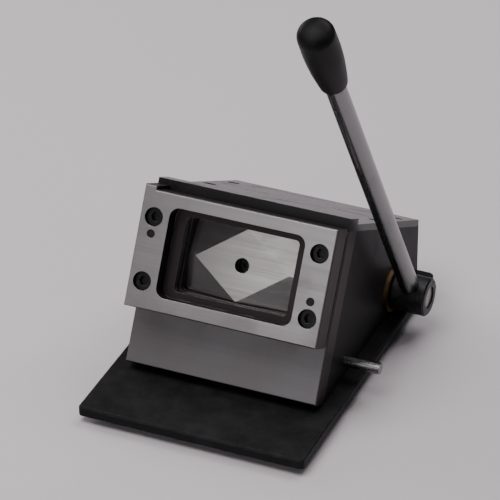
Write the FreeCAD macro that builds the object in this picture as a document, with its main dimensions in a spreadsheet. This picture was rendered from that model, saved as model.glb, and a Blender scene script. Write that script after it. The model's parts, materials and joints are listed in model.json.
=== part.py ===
import FreeCAD, Part
import math
import os
import re

import Sketcher

# A hand-lever cutter that punches plastic cards out of a sheet.
# World frame: +Z up, +X to the operator's right, +Y away from the operator. The origin is the
# centre of the base's footprint on the desk. Lengths are millimetres and angles are degrees.
# The cutting head leans back. In its frame u runs to the right, v runs up the die plate and
# w runs into the machine from the die plate's front face, all from the window's centre.

SIZES = (
    ("card_width", 85.6, "long side of the card and of the window"),
    ("card_height", 54.0, "short side of the card and of the window"),
    ("card_corner", 3.2, "corner radius of the card"),
    ("lean_angle", 28.4, "how far the cutting head leans back from upright"),
    ("head_width", 145.8, "width of the die plate and of the body behind it"),
    ("die_top", 41.6, "die plate's top edge above the window's centre"),
    ("die_bottom", 42.7, "die plate's bottom edge below the window's centre"),
    ("die_thick", 19.5, "die plate's thickness"),
    ("edge_break", 0.9, "bevel round the die plate's front"),
    ("tab_width", 9.0, "raised tab at the die plate's left end"),
    ("body_rise", 2.9, "body's top above the die plate's top edge"),
    ("relief_width", 102.3, "width of the opening in the die plate's front"),
    ("relief_height", 64.5, "height of the opening in the die plate's front"),
    ("relief_corner", 7.2, "corner radius of the opening in the die plate's front"),
    ("die_land", 6.4, "length of the window's cutting walls at the die plate's back"),
    ("card_slot", 4.5, "gap that the sheet slides into behind the die plate"),
    ("guide_thick", 16.7, "thickness of the plate behind the slot"),
    ("side_thick", 16.7, "thickness of the side plates"),
    ("cover_thick", 4.8, "thickness of the top cover"),
    ("lip_rise", 7.1, "top cover's front lip above the die plate's top edge"),
    ("rear_thick", 3.6, "thickness of the rear cover"),
    ("body_depth", 184.0, "body's depth along the punch's direction, at its top"),
    ("side_apron", 12.5, "base plate's edge beyond each side plate"),
    ("base_thick", 7.2, "thickness of the base plate"),
    ("base_corner", 3.6, "corner radius of the base plate"),
    ("base_break", 1.2, "bevel round the base plate's top"),
    ("front_apron", 73.5, "base plate's front edge ahead of the window's centre"),
    ("rear_apron", 3.9, "base plate's rear edge behind the rear cover"),
    ("foot_height", 6.0, "height of the rubber feet"),
    ("foot_diameter", 24.0, "diameter of the rubber feet"),
    ("foot_break", 1.2, "bevel round the soles of the feet"),
    ("foot_inset", 19.1, "feet's centres from the base plate's edges"),
    ("spacer_width", 17.9, "width of the bar that closes the slot's left end"),
    ("spacer_drop", 1.6, "bar's shoulder below the die plate's top edge"),
    ("bush_spacer", 16.7, "diameter of the round spacers at the slot's right end"),
    ("screw_reach", 62.5, "die screws' distance from the centre line"),
    ("screw_high", 22.6, "upper die screws above the window's centre"),
    ("screw_low", 23.4, "lower die screws below the window's centre"),
    ("screw_diameter", 8.0, "thread diameter of the die screws"),
    ("screw_head", 13.0, "head diameter of the die screws"),
    ("screw_head_height", 8.0, "head height of the die screws"),
    ("screw_sink", 12.0, "depth of the die screws' counterbores"),
    ("screw_length", 55.0, "length of the die screws under the head"),
    ("dowel_diameter", 6.0, "diameter of the die dowels"),
    ("dowel_offset", 12.0, "die dowels' distance from their screws"),
    ("dowel_sink", 1.0, "die dowels' ends below the die plate's face"),
    ("fit_clearance", 0.02, "radial play of seated pins and bushes"),
    ("hole_clearance", 0.3, "radial play round screw shanks and heads"),
    ("punch_clearance", 0.1, "play between the punch and its window"),
    ("punch_setback", 0.3, "resting punch face behind the guide plate's front"),
    ("punch_length", 43.0, "length of the punch"),
    ("shear_angle", 7.0, "slope of the punch's ground corners"),
    ("shear_side_inset", 7.1, "end corners of the punch's flat from its short sides"),
    ("shear_top_inset", 0.7, "upper and lower corners of the flat from its long sides"),
    ("stroke", 12.0, "travel of the punch"),
    ("punch_screw_diameter", 6.0, "thread diameter of the punch screw"),
    ("punch_screw_head", 10.0, "head diameter of the punch screw"),
    ("punch_screw_head_height", 6.0, "head height of the punch screw"),
    ("punch_screw_sink", 16.7, "depth of the punch screw's counterbore"),
    ("punch_screw_length", 40.6, "length of the punch screw under the head"),
    ("punch_dowel_reach", 31.1, "punch dowels' distance from the centre line"),
    ("punch_dowel_depth", 12.0, "punch dowels' depth in each piece"),
    ("ram_width", 86.0, "width of the ram between its rails"),
    ("ram_height", 52.6, "height of the ram"),
    ("tongue_depth", 4.8, "tongues' reach out of the ram's sides"),
    ("tongue_height", 12.0, "height of the ram's tongues"),
    ("slide_clearance", 0.1, "play of the ram's tongues in their grooves"),
    ("rail_gap", 0.4, "gap from the ram's sides to its rails"),
    ("rail_height", 31.1, "height of the guide rails"),
    ("rail_overhang", 3.6, "guide rails' length beyond the ram's"),
    ("rail_setback", 0.6, "rails' front ends behind the resting punch"),
    ("pad_thick", 7.2, "thickness of the pad that the cam pushes"),
    ("pad_width", 38.2, "width of the cam's pad"),
    ("pad_height", 33.5, "height of the cam's pad"),
    ("pad_screw_inset", 5.7, "pad screws from the pad's edges"),
    ("cam_gap", 0.3, "gap from the cam to its pad"),
    ("cam_low", 20.6, "cam's reach from the shaft to its pad at rest"),
    ("shaft_inset", 35.9, "main shaft ahead of the body's rear top edge"),
    ("shaft_rise", 18.2, "main shaft above the base plate's top"),
    ("shaft_drop", 6.0, "main shaft below the window's centre"),
    ("shaft_diameter", 21.5, "main shaft's diameter"),
    ("shaft_end_diameter", 16.7, "main shaft's diameter in the lever's hub"),
    ("shaft_play", 0.05, "radial play of the shaft in its bushes"),
    ("bush_diameter", 28.6, "outside diameter of the shaft's bushes"),
    ("flange_diameter", 33.5, "diameter of the bushes' flanges"),
    ("flange_thick", 3.0, "thickness of the bushes' flanges"),
    ("end_gap", 0.4, "side gap between turning and fixed pieces"),
    ("cam_width", 28.7, "width of the cam"),
    ("heel_radius", 15.5, "radius of the cam's back"),
    ("key_width", 6.0, "width and height of the cam's key"),
    ("key_length", 21.5, "length of the cam's key"),
    ("collar_diameter", 33.5, "outside diameter of the shaft collar"),
    ("collar_width", 12.0, "width of the shaft collar"),
    ("grub_diameter", 4.8, "diameter of the set screws"),
    ("hub_diameter", 28.6, "diameter of the lever's hub"),
    ("hub_length", 26.6, "length of the lever's hub"),
    ("hub_break", 1.2, "bevel at the hub's ends"),
    ("lever_angle", 32.1, "resting lever's lean towards the operator"),
    ("travel_angle", 54.0, "turn of the lever from rest to its stop"),
    ("rod_diameter", 14.3, "diameter of the lever's rod"),
    ("rod_tang", 9.6, "diameter of the rod's end in the hub"),
    ("rod_bite", 6.0, "rod's end past the shaft's centre"),
    ("grip_start", 308.3, "lower end of the grip from the shaft"),
    ("grip_length", 68.7, "length of the grip"),
    ("grip_bore", 47.8, "depth of the rod in the grip"),
    ("grip_low", 19.8, "diameter of the grip above its lower rim"),
    ("grip_high", 25.7, "largest diameter of the grip"),
    ("grip_mouth", 0.6, "flat rim round the rod at the grip's lower end"),
    ("grip_shoulder", 7.2, "radius of the grip's shoulder"),
    ("grip_dome", 23.9, "radius of the grip's domed top"),
    ("stop_inset", 40.0, "stop pin behind the front of the side plate's foot"),
    ("stop_diameter", 8.4, "diameter of the stop pin"),
    ("stop_out", 27.5, "stop pin's length outside the body"),
    ("stop_in", 13.1, "stop pin's length inside the side plate"),
    ("stop_gap", 0.3, "gap from the stopped lever to its pin"),
    ("spring_reach", 35.9, "return springs' distance from the centre line"),
    ("spring_rise", 6.0, "return springs' line above the ram's top"),
    ("spring_wire", 1.8, "wire diameter of the return springs"),
    ("spring_coil", 10.8, "outside diameter of the return springs"),
    ("spring_gap", 0.3, "gap from the springs' hooks to what holds them"),
    ("stud_diameter", 6.7, "diameter of the spring studs"),
    ("stud_neck", 4.8, "diameter of the studs' necks"),
    ("stud_inset", 7.8, "spring studs from the ram's rear end"),
    ("stud_depth", 9.6, "spring studs' depth in the ram"),
    ("bar_inset", 13.1, "spring bar ahead of the body's rear top edge"),
    ("bar_diameter", 9.1, "spring bar's diameter"),
    ("bar_neck", 7.2, "spring bar's diameter in its grooves"),
    ("bar_bite", 9.6, "spring bar's length in each side plate"),
    ("groove_width", 2.9, "width of the grooves that hold the hooks"),
    ("base_screw_inset", 22.1, "front base screws behind the side plates' fronts"),
    ("base_screw_gap", 2.7, "gap from the rear base screws to the shaft's bushes"),
    ("base_screw_diameter", 6.0, "thread diameter of the base screws"),
    ("base_screw_head", 10.0, "head diameter of the base screws"),
    ("base_screw_head_height", 3.4, "head height of the base screws"),
    ("base_screw_length", 13.1, "length of the base screws under the head"),
    ("small_screw_diameter", 5.0, "thread diameter of the small screws"),
    ("small_screw_head", 8.5, "head diameter of the small screws"),
    ("small_screw_head_height", 2.75, "head height of the small screws"),
    ("small_screw_length", 12.0, "length of the small screws under the head"),
    ("small_screw_sink", 3.2, "depth of the small screws' counterbores"),
    ("overrun", 3.5, "how far a hole's cut runs past its face"),
    ("socket_share", 0.5, "hexagon socket's width as a share of the screw head"),
    ("socket_depth_share", 0.5, "hexagon socket's depth as a share of the head's height"),
)

doc = FreeCAD.newDocument("card_cutter")
sheet = doc.addObject("Spreadsheet::Sheet", "Sizes")
for row, (alias, value, note) in enumerate(SIZES, start=1):
    sheet.set(f"A{row}", note)
    sheet.set(f"B{row}", str(value))
    sheet.setAlias(f"B{row}", alias)
doc.recompute()

ALIAS = re.compile(r"\b(" + "|".join(alias for alias, value, note in SIZES) + r")\b")
parts = []


# Expressions over the sheet

def bound(text):
    """The expression with every size's name pointing at its cell."""
    return ALIAS.sub(r"Sizes.\1", text)


def number(text):
    """The present value of an expression over the sheet."""
    value = sheet.evalExpression(bound(text))
    return float(getattr(value, "Value", value))


def bind(item, path, text):
    """Tie a property to an expression over the sheet."""
    item.setExpression(path, bound(text))


def world_y(v, w):
    """World Y of a point v up the leaning plate and w behind its front face."""
    return f"(front_apron - {BASE_DEPTH} / 2 + ({w}) * cos(lean_angle) + ({v}) * sin(lean_angle))"


def world_z(v, w):
    """World Z of a point v up the leaning plate and w behind its front face."""
    return f"({BASE_TOP} + {WINDOW_RISE} - ({w}) * sin(lean_angle) + ({v}) * cos(lean_angle))"


BASE_TOP = "(foot_height + base_thick)"
SHAFT_DEPTH = "(body_depth - shaft_inset)"
BAR_DEPTH = "(body_depth - bar_inset)"
WINDOW_RISE = f"(shaft_rise + {SHAFT_DEPTH} * sin(lean_angle) + shaft_drop * cos(lean_angle))"
BODY_TOP = "(die_top + body_rise)"
COVER_LOW = "(die_top + body_rise - cover_thick)"
GUIDE_FRONT = "(die_thick + card_slot)"
GUIDE_BACK = "(die_thick + card_slot + guide_thick)"
GUIDE_LOW = f"(({GUIDE_BACK} * sin(lean_angle) - {WINDOW_RISE}) / cos(lean_angle))"
BASE_WIDTH = "(head_width + 2 * side_apron)"
BODY_REACH = "(body_depth * cos(lean_angle) + (die_top + body_rise) * sin(lean_angle))"
BASE_DEPTH = f"(front_apron + {BODY_REACH} + rear_apron)"
HALF_HEAD = "(head_width / 2)"
TAB_EDGE = "(tab_width - head_width / 2)"
LIP_TOP = "(die_top + lip_rise)"
SIDE_IN = "(head_width / 2 - side_thick)"
SIDE_MID = "(head_width / 2 - side_thick / 2)"
PUNCH_FRONT = f"({GUIDE_FRONT} + punch_setback)"
PUNCH_BACK = f"({PUNCH_FRONT} + punch_length)"
PAD_BACK = f"({SHAFT_DEPTH} - cam_low - cam_gap)"
RAM_BACK = f"({PAD_BACK} - pad_thick)"
RAM_LENGTH = f"({RAM_BACK} - {PUNCH_BACK})"
RAIL_LENGTH = f"({RAM_LENGTH} + rail_overhang)"
RAIL_FRONT = f"({PUNCH_BACK} + rail_setback)"
CAM_RISE = "(stroke / (travel_angle * pi / 180))"
PAD_MIDDLE = f"({CAM_RISE} - shaft_drop)"
SPRING_LINE = "(ram_height / 2 + spring_rise)"
STUD_DEPTH = f"({RAM_BACK} - stud_inset)"
REAR_OUT = world_y(BODY_TOP, "body_depth")
REAR_IN = f"({REAR_OUT} - rear_thick)"
HUB_START = "(head_width / 2 + flange_thick + end_gap)"
LEVER_X = f"({HUB_START} + hub_length / 2)"

SHAFT_Y = world_y("0 - shaft_drop", SHAFT_DEPTH)
SHAFT_Z = world_z("0 - shaft_drop", SHAFT_DEPTH)

# Each frame is a place on the centre plane and a turn about X.
FRAMES = {
    "ground": ("0", "0", "0"),
    "head": (world_y("0", "0"), world_z("0", "0"), "90 - lean_angle"),
    "shaft": (SHAFT_Y, SHAFT_Z, "90 - lean_angle"),
    "lever": (SHAFT_Y, SHAFT_Z, "lever_angle"),
    "stopped": (SHAFT_Y, SHAFT_Z, "lever_angle + travel_angle"),
    "bar": (world_y(SPRING_LINE, BAR_DEPTH), world_z(SPRING_LINE, BAR_DEPTH), "90 - lean_angle"),
}


# Sketches and features

def place(item, frame):
    """Set an object's placement from one of the named frames."""
    y, z, turn = FRAMES[frame]
    spin = FreeCAD.Rotation(FreeCAD.Vector(1, 0, 0), max(number(turn), 1))
    item.Placement = FreeCAD.Placement(FreeCAD.Vector(0, 0, 0), spin)
    bind(item, "Placement.Base.y", y)
    bind(item, "Placement.Base.z", z)
    bind(item, "Placement.Rotation.Angle", turn)


def new_body(label, frame, keep=True):
    """An empty body in a named frame; kept bodies are exported as pieces."""
    body = doc.addObject("PartDesign::Body", label)
    body.Label = label
    place(body, frame)
    if keep:
        parts.append(body)
    return body


def hold(sketch, kind, geometry, point, text):
    """Fix one coordinate of a sketch point to an expression, measured from the origin."""
    index = sketch.addConstraint(Sketcher.Constraint(kind, -1, 1, geometry, point, number(text)))
    bind(sketch, f"Constraints[{index}]", text)


def ring(x, y, diameter):
    """A circle, as a function that draws it into a sketch."""
    def into(sketch):
        centre = FreeCAD.Vector(number(x), number(y), 0)
        circle = Part.Circle(centre, FreeCAD.Vector(0, 0, 1), number(diameter) / 2)
        geometry = sketch.addGeometry(circle)
        hold(sketch, "DistanceX", geometry, 3, x)
        hold(sketch, "DistanceY", geometry, 3, y)
        index = sketch.addConstraint(Sketcher.Constraint("Diameter", geometry, number(diameter)))
        bind(sketch, f"Constraints[{index}]", diameter)
    return into


def arc_between(start, end, radius):
    """The short arc from start to end; a positive radius curves to the left."""
    chord = end - start
    middle = (start + end) / 2
    normal = FreeCAD.Vector(-chord.y, chord.x, 0).normalize()
    height = math.sqrt(max(radius * radius - chord.Length ** 2 / 4, 0))
    centre = middle + normal * math.copysign(height, radius)
    first, last = (start, end) if radius > 0 else (end, start)
    angles = [math.atan2(point.y - centre.y, point.x - centre.x) for point in (first, last)]
    circle = Part.Circle(centre, FreeCAD.Vector(0, 0, 1), abs(radius))
    return Part.ArcOfCircle(circle, *angles)


def outline(points):
    """A closed outline; a point's third item is the radius of the arc to the next point."""
    def into(sketch):
        places = [FreeCAD.Vector(number(point[0]), number(point[1]), 0) for point in points]
        ends = []
        for index, point in enumerate(points):
            start = places[index]
            end = places[(index + 1) % len(points)]
            if len(point) == 3:
                radius = number(point[2])
                geometry = sketch.addGeometry(arc_between(start, end, radius))
                ends.append((geometry, 1, 2) if radius > 0 else (geometry, 2, 1))
                size = Sketcher.Constraint("Radius", geometry, abs(radius))
                bind(sketch, f"Constraints[{sketch.addConstraint(size)}]", f"abs({point[2]})")
            else:
                geometry = sketch.addGeometry(Part.LineSegment(start, end))
                ends.append((geometry, 1, 2))
        for index, point in enumerate(points):
            geometry, first, last = ends[index]
            before, unused, tail = ends[index - 1]
            sketch.addConstraint(Sketcher.Constraint("Coincident", before, tail, geometry, first))
            hold(sketch, "DistanceX", geometry, first, point[0])
            hold(sketch, "DistanceY", geometry, first, point[1])
    return into


def box_outline(left, low, right, high):
    """A rectangle from its four sides."""
    return outline([(left, low), (right, low), (right, high), (left, high)])


def rounded(half_width, half_height, corner):
    """A centred rectangle with round corners."""
    inner_x = f"({half_width} - {corner})"
    inner_y = f"({half_height} - {corner})"
    return outline([
        (f"0 - {inner_x}", f"0 - {half_height}"),
        (inner_x, f"0 - {half_height}", corner),
        (half_width, f"0 - {inner_y}"),
        (half_width, inner_y, corner),
        (inner_x, half_height),
        (f"0 - {inner_x}", half_height, corner),
        (f"0 - {half_width}", inner_y),
        (f"0 - {half_width}", f"0 - {inner_y}", corner),
    ])


def hexagon(x, y, flats):
    """A hexagon from its width across flats, with two flats along the sketch's X."""
    across = f"({flats} / sqrt(3))"
    shares = ((1, 0), (0.5, 0.5), (-0.5, 0.5), (-1, 0), (-0.5, -0.5), (0.5, -0.5))
    return outline([(f"{x} + {i} * {across}", f"{y} + {j} * {flats}") for i, j in shares])


def draw(body, plane, start, loops):
    """A sketch on one of the body's own planes, moved along the plane's normal by start."""
    sketch = body.newObject("Sketcher::SketchObject", f"{body.Name}_sketch")
    support = [item for item in body.Origin.OriginFeatures if item.Role == f"{plane}_Plane"][0]
    sketch.AttachmentSupport = [(support, "")]
    sketch.MapMode = "FlatFace"
    bind(sketch, "AttachmentOffset.Base.z", start)
    for loop in loops:
        loop(sketch)
    sketch.Visibility = False
    return sketch


def add(body, plane, start, length, loops):
    """Material along the plane's normal, from start over length."""
    pad = body.newObject("PartDesign::Pad", f"{body.Name}_pad")
    pad.Profile = draw(body, plane, start, loops)
    bind(pad, "Length", length)
    return pad


def cut(body, plane, start, length, loops):
    """A cut along the plane's normal, from start over length."""
    pocket = body.newObject("PartDesign::Pocket", f"{body.Name}_pocket")
    pocket.Profile = draw(body, plane, start, loops)
    pocket.Reversed = True
    bind(pocket, "Length", length)
    return pocket


def bevel(body, size, chosen):
    """A bevel on the edges that the test picks."""
    doc.recompute()
    tip = body.Tip
    names = [f"Edge{i}" for i, edge in enumerate(tip.Shape.Edges, start=1) if chosen(edge)]
    chamfer = body.newObject("PartDesign::Chamfer", f"{body.Name}_chamfer")
    chamfer.Base = (tip, names)
    bind(chamfer, "Size", size)
    return chamfer


def turned(label, frame, points, keep=True):
    """A piece turned about its frame's X axis, from points of (place along X, radius)."""
    body = new_body(label, frame, keep)
    revolution = body.newObject("PartDesign::Revolution", f"{body.Name}_turn")
    sketch = draw(body, "XY", "0", [outline(points)])
    revolution.Profile = sketch
    revolution.ReferenceAxis = (sketch, ["H_Axis"])
    revolution.Angle = 360
    return body


def less(label, base, tools):
    """The base with the tools cut away, as the exported piece."""
    result = doc.addObject("Part::Cut", label)
    result.Label = label
    if len(tools) == 1:
        tool = tools[0]
    else:
        tool = doc.addObject("Part::MultiFuse", f"{label}_holes")
        tool.Shapes = tools
    result.Base = base
    result.Tool = tool
    parts.append(result)
    return result


def rods(label, frame, plane, start, length, places, diameter, keep=False):
    """Parallel round rods, for use as hole tools or as pins."""
    body = new_body(label, frame, keep)
    add(body, plane, start, length, [ring(x, y, diameter) for x, y in places])
    return body


def screws(label, frame, plane, seat, side, places, names):
    """Socket screws whose heads sit on seat and point along the normal times side."""
    body = new_body(label, frame)
    shank, head, height, length = names
    depth = f"({height} * socket_depth_share)"
    if side > 0:
        low, base, socket = f"{seat} - {length}", seat, f"{seat} + {height} - {depth}"
    else:
        low, base, socket = seat, f"{seat} - {height}", f"{seat} - {height}"
    add(body, plane, low, length, [ring(x, y, shank) for x, y in places])
    add(body, plane, base, height, [ring(x, y, head) for x, y in places])
    flats = f"({head} * socket_share)"
    cut(body, plane, socket, depth, [hexagon(x, y, flats) for x, y in places])
    return body


DIE_SCREW = ("screw_diameter", "screw_head", "screw_head_height", "screw_length")
PUNCH_SCREW = [f"punch_{size}" for size in DIE_SCREW]
BASE_SCREW = [f"base_{size}" for size in DIE_SCREW]
SMALL_SCREW = [f"small_{size}" for size in DIE_SCREW]

DIE_SCREW_PLACES = [
    (f"{side} * screw_reach", v)
    for side in (-1, 1) for v in ("screw_high", "0 - screw_low")
]
DIE_DOWEL_PLACES = [
    ("0 - screw_reach", "screw_high - dowel_offset"),
    ("screw_reach", "dowel_offset - screw_low"),
]
SCREW_HOLE = "screw_diameter + 2 * hole_clearance"
DOWEL_HOLE = "dowel_diameter + 2 * fit_clearance"
SMALL_HOLE = "small_screw_diameter + 2 * fit_clearance"
SMALL_FREE = "small_screw_diameter + 2 * hole_clearance"
SMALL_HEAD_HOLE = "small_screw_head + 2 * hole_clearance"


# The base: plate, feet and their screws

FOOT_PLACES = [
    (f"{i} * ({BASE_WIDTH} / 2 - foot_inset)", f"{j} * ({BASE_DEPTH} / 2 - foot_inset)")
    for i in (-1, 1) for j in (-1, 1)
]
SIDE_FRONT = world_y(GUIDE_LOW, GUIDE_BACK)
FIRST_SCREW = f"({SIDE_FRONT} + base_screw_inset)"
LAST_SCREW = f"({SHAFT_Y} + bush_diameter / 2 + base_screw_gap + base_screw_diameter / 2)"
BASE_SCREW_PLACES = [
    (f"{i} * {SIDE_MID}", y)
    for i in (-1, 1) for y in (FIRST_SCREW, f"(({FIRST_SCREW} + {SHAFT_Y}) / 2)", LAST_SCREW)
]

base = new_body("base_plate", "ground")
add(base, "XY", "foot_height", "base_thick",
    [rounded(f"{BASE_WIDTH} / 2", f"{BASE_DEPTH} / 2", "base_corner")])
bevel(base, "base_break", lambda edge: edge.BoundBox.ZMin > number("foot_height + base_thick / 2"))
cut(base, "XY", "foot_height", "base_thick",
    [ring(x, y, "base_screw_diameter + 2 * hole_clearance") for x, y in BASE_SCREW_PLACES])
cut(base, "XY", "foot_height", "base_screw_head_height",
    [ring(x, y, "base_screw_head + 2 * hole_clearance") for x, y in BASE_SCREW_PLACES])
cut(base, "XY", "foot_height", "base_thick - base_break", [ring(x, y, SMALL_HOLE) for x, y in FOOT_PLACES])

feet = new_body("rubber_feet", "ground")
add(feet, "XY", "0", "foot_height", [ring(x, y, "foot_diameter") for x, y in FOOT_PLACES])
bevel(feet, "foot_break", lambda edge: edge.BoundBox.ZMax < number("foot_break"))
cut(feet, "XY", "0", "foot_height", [ring(x, y, SMALL_FREE) for x, y in FOOT_PLACES])
cut(feet, "XY", "0", "small_screw_sink", [ring(x, y, SMALL_HEAD_HOLE) for x, y in FOOT_PLACES])

FOOT_SCREW = (*SMALL_SCREW[:3], "(foot_height + base_thick - small_screw_sink - 2 * base_break)")
screws("foot_screws", "ground", "XY", "small_screw_sink", -1, FOOT_PLACES, FOOT_SCREW)
BASE_SEAT = "foot_height + base_screw_head_height"
screws("base_screws", "ground", "XY", BASE_SEAT, -1, BASE_SCREW_PLACES, BASE_SCREW)


# The body: side plates, guide plate, and covers with a lip over the slot

COVER_SCREW_SHARES = (0.1, 0.45, 0.8)
COVER_SCREW_PLACES = [
    (f"{i} * {SIDE_MID}", f"0 - ({GUIDE_BACK} + {share} * (body_depth - {GUIDE_BACK}))")
    for i in (-1, 1) for share in COVER_SCREW_SHARES
]
COVER_END = "(body_depth + cover_thick * tan(lean_angle))"
REAR_COVER_Z = world_z(COVER_LOW, COVER_END)
REAR_EDGE_Z = world_z(COVER_LOW, f"({COVER_END} - rear_thick / cos(lean_angle))")
REAR_SCREW_SHARES = (0.22, 0.66)
REAR_SCREW_PLACES = [
    (f"{i} * {SIDE_MID}", f"({BASE_TOP} + {share} * ({REAR_COVER_Z} - {BASE_TOP}))")
    for i in (-1, 1) for share in REAR_SCREW_SHARES
]
RAIL_SCREW_SHARES = (0.2, 0.8)
RAIL_SCREW_PLACES = [("0", f"0 - ({RAIL_FRONT} + {share} * {RAIL_LENGTH})") for share in RAIL_SCREW_SHARES]
RAIL_FLOOR = "(ram_width / 2 + tongue_depth + slide_clearance)"

SIDE_OUTLINE = [
    (SIDE_FRONT, BASE_TOP),
    (REAR_IN, BASE_TOP),
    (REAR_IN, REAR_EDGE_Z),
    (world_y(COVER_LOW, GUIDE_BACK), world_z(COVER_LOW, GUIDE_BACK)),
]


def on_side(places, side):
    """The places on one side of the centre plane."""
    return [place for place in places if place[0].startswith("-") == (side < 0)]


def side_plate(label, side):
    """A side plate with the holes that its screws, bush, spring bar and pins need."""
    start = SIDE_IN if side > 0 else f"0 - {HALF_HEAD}"
    blank = new_body(f"{label}_blank", "ground", keep=False)
    add(blank, "YZ", start, "side_thick", [outline(SIDE_OUTLINE)])
    inner = f"{SIDE_IN} - overrun"
    rows = [
        ("bush", "shaft", "YZ", f"{start} - overrun", "side_thick + 2 * overrun",
         [("0", "0")], "bush_diameter"),
        ("bar", "bar", "YZ", inner if side > 0 else f"0 - {SIDE_IN} - bar_bite", "bar_bite + overrun",
         [("0", "0")], "bar_diameter"),
        ("die", "head", "XY", "0 - (screw_sink + screw_length)",
         f"screw_sink + screw_length - {GUIDE_BACK} + overrun",
         on_side(DIE_SCREW_PLACES, side), "screw_diameter"),
        ("cover", "head", "XZ", f"0 - ({COVER_LOW} + overrun)", "small_screw_length + overrun",
         on_side(COVER_SCREW_PLACES, side), "small_screw_diameter"),
        ("base", "ground", "XY", f"{BASE_TOP} - overrun", "base_screw_length + overrun",
         on_side(BASE_SCREW_PLACES, side), "base_screw_diameter"),
        ("rear", "ground", "XZ", f"0 - ({REAR_IN} + overrun)", "small_screw_length + overrun",
         on_side(REAR_SCREW_PLACES, side), "small_screw_diameter"),
        ("rail", "head", "YZ", inner if side > 0 else f"0 - {SIDE_IN} - small_screw_length",
         "small_screw_length + overrun", RAIL_SCREW_PLACES, "small_screw_diameter"),
    ]
    if side > 0:
        rows.append(("stop", "stopped", "YZ", f"{HALF_HEAD} - stop_in", "stop_in + overrun",
                     [STOP_PLACE], "stop_diameter"))
    tools = []
    for name, frame, plane, low, length, places, diameter in rows:
        hole = f"{diameter} + 2 * fit_clearance"
        tools.append(rods(f"{label}_{name}_hole", frame, plane, low, length, places, hole))
    return less(label, blank, tools)


STOP_PLACE = (
    "0 - (rod_diameter / 2 + stop_diameter / 2 + stop_gap)",
    f"({SHAFT_Y} - {SIDE_FRONT} - stop_inset)",
)
side_plate("left_side_plate", -1)
side_plate("right_side_plate", 1)

guide = new_body("guide_plate", "head")
add(guide, "XY", f"0 - {GUIDE_BACK}", "guide_thick", [outline([
    (f"0 - {HALF_HEAD}", GUIDE_LOW),
    (HALF_HEAD, GUIDE_LOW),
    (HALF_HEAD, COVER_LOW),
    (TAB_EDGE, COVER_LOW),
    (TAB_EDGE, BODY_TOP),
    (f"0 - {HALF_HEAD}", BODY_TOP),
])])
bevel(guide, "edge_break", lambda edge: edge.BoundBox.ZMin > -number(f"{GUIDE_FRONT} + edge_break"))
CARD_LOOP = rounded("card_width / 2", "card_height / 2", "card_corner")
cut(guide, "XY", f"0 - {GUIDE_BACK}", "guide_thick", [CARD_LOOP])
cut(guide, "XY", f"0 - {GUIDE_BACK}", "guide_thick", [ring(x, y, SCREW_HOLE) for x, y in DIE_SCREW_PLACES])
cut(guide, "XY", f"0 - {GUIDE_BACK}", "guide_thick", [ring(x, y, DOWEL_HOLE) for x, y in DIE_DOWEL_PLACES])

cover = new_body("top_cover_blank", "ground", keep=False)
add(cover, "YZ", f"0 - {HALF_HEAD}", "head_width", [outline([
    (world_y(COVER_LOW, GUIDE_BACK), world_z(COVER_LOW, GUIDE_BACK)),
    (REAR_OUT, REAR_COVER_Z),
    (REAR_OUT, world_z(BODY_TOP, "body_depth")),
    (world_y(BODY_TOP, GUIDE_BACK), world_z(BODY_TOP, GUIDE_BACK)),
])])
add(cover, "YZ", TAB_EDGE, "head_width - tab_width", [outline([
    (world_y(COVER_LOW, GUIDE_FRONT), world_z(COVER_LOW, GUIDE_FRONT)),
    (world_y(COVER_LOW, GUIDE_BACK), world_z(COVER_LOW, GUIDE_BACK)),
    (world_y(LIP_TOP, GUIDE_BACK), world_z(LIP_TOP, GUIDE_BACK)),
    (world_y(LIP_TOP, GUIDE_FRONT), world_z(LIP_TOP, GUIDE_FRONT)),
])])
COVER_OVER = f"0 - ({BODY_TOP} + overrun)"
cover_holes = rods("top_cover_holes", "head", "XZ", COVER_OVER, "cover_thick + 2 * overrun",
                   COVER_SCREW_PLACES, SMALL_FREE)
cover_sinks = rods("top_cover_sinks", "head", "XZ", COVER_OVER, "small_screw_sink + overrun",
                   COVER_SCREW_PLACES, SMALL_HEAD_HOLE)
less("top_cover", cover, [cover_holes, cover_sinks])
COVER_SCREW = (*SMALL_SCREW[:3], "(small_screw_length + cover_thick - small_screw_sink)")
COVER_SEAT = f"0 - ({BODY_TOP} - small_screw_sink)"
screws("top_cover_screws", "head", "XZ", COVER_SEAT, -1, COVER_SCREW_PLACES, COVER_SCREW)

rear = new_body("rear_cover_blank", "ground", keep=False)
add(rear, "YZ", f"0 - {HALF_HEAD}", "head_width", [outline([
    (REAR_IN, BASE_TOP),
    (REAR_OUT, BASE_TOP),
    (REAR_OUT, REAR_COVER_Z),
    (REAR_IN, REAR_EDGE_Z),
])])
rear_holes = rods("rear_cover_holes", "ground", "XZ", f"0 - ({REAR_OUT} + overrun)",
                  "rear_thick + 2 * overrun", REAR_SCREW_PLACES, SMALL_FREE)
less("rear_cover", rear, [rear_holes])
REAR_SCREW = (*SMALL_SCREW[:3], "(small_screw_length + rear_thick)")
screws("rear_cover_screws", "ground", "XZ", f"0 - {REAR_OUT}", -1, REAR_SCREW_PLACES, REAR_SCREW)


# The die set: die plate, spacers, screws and dowels

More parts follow.
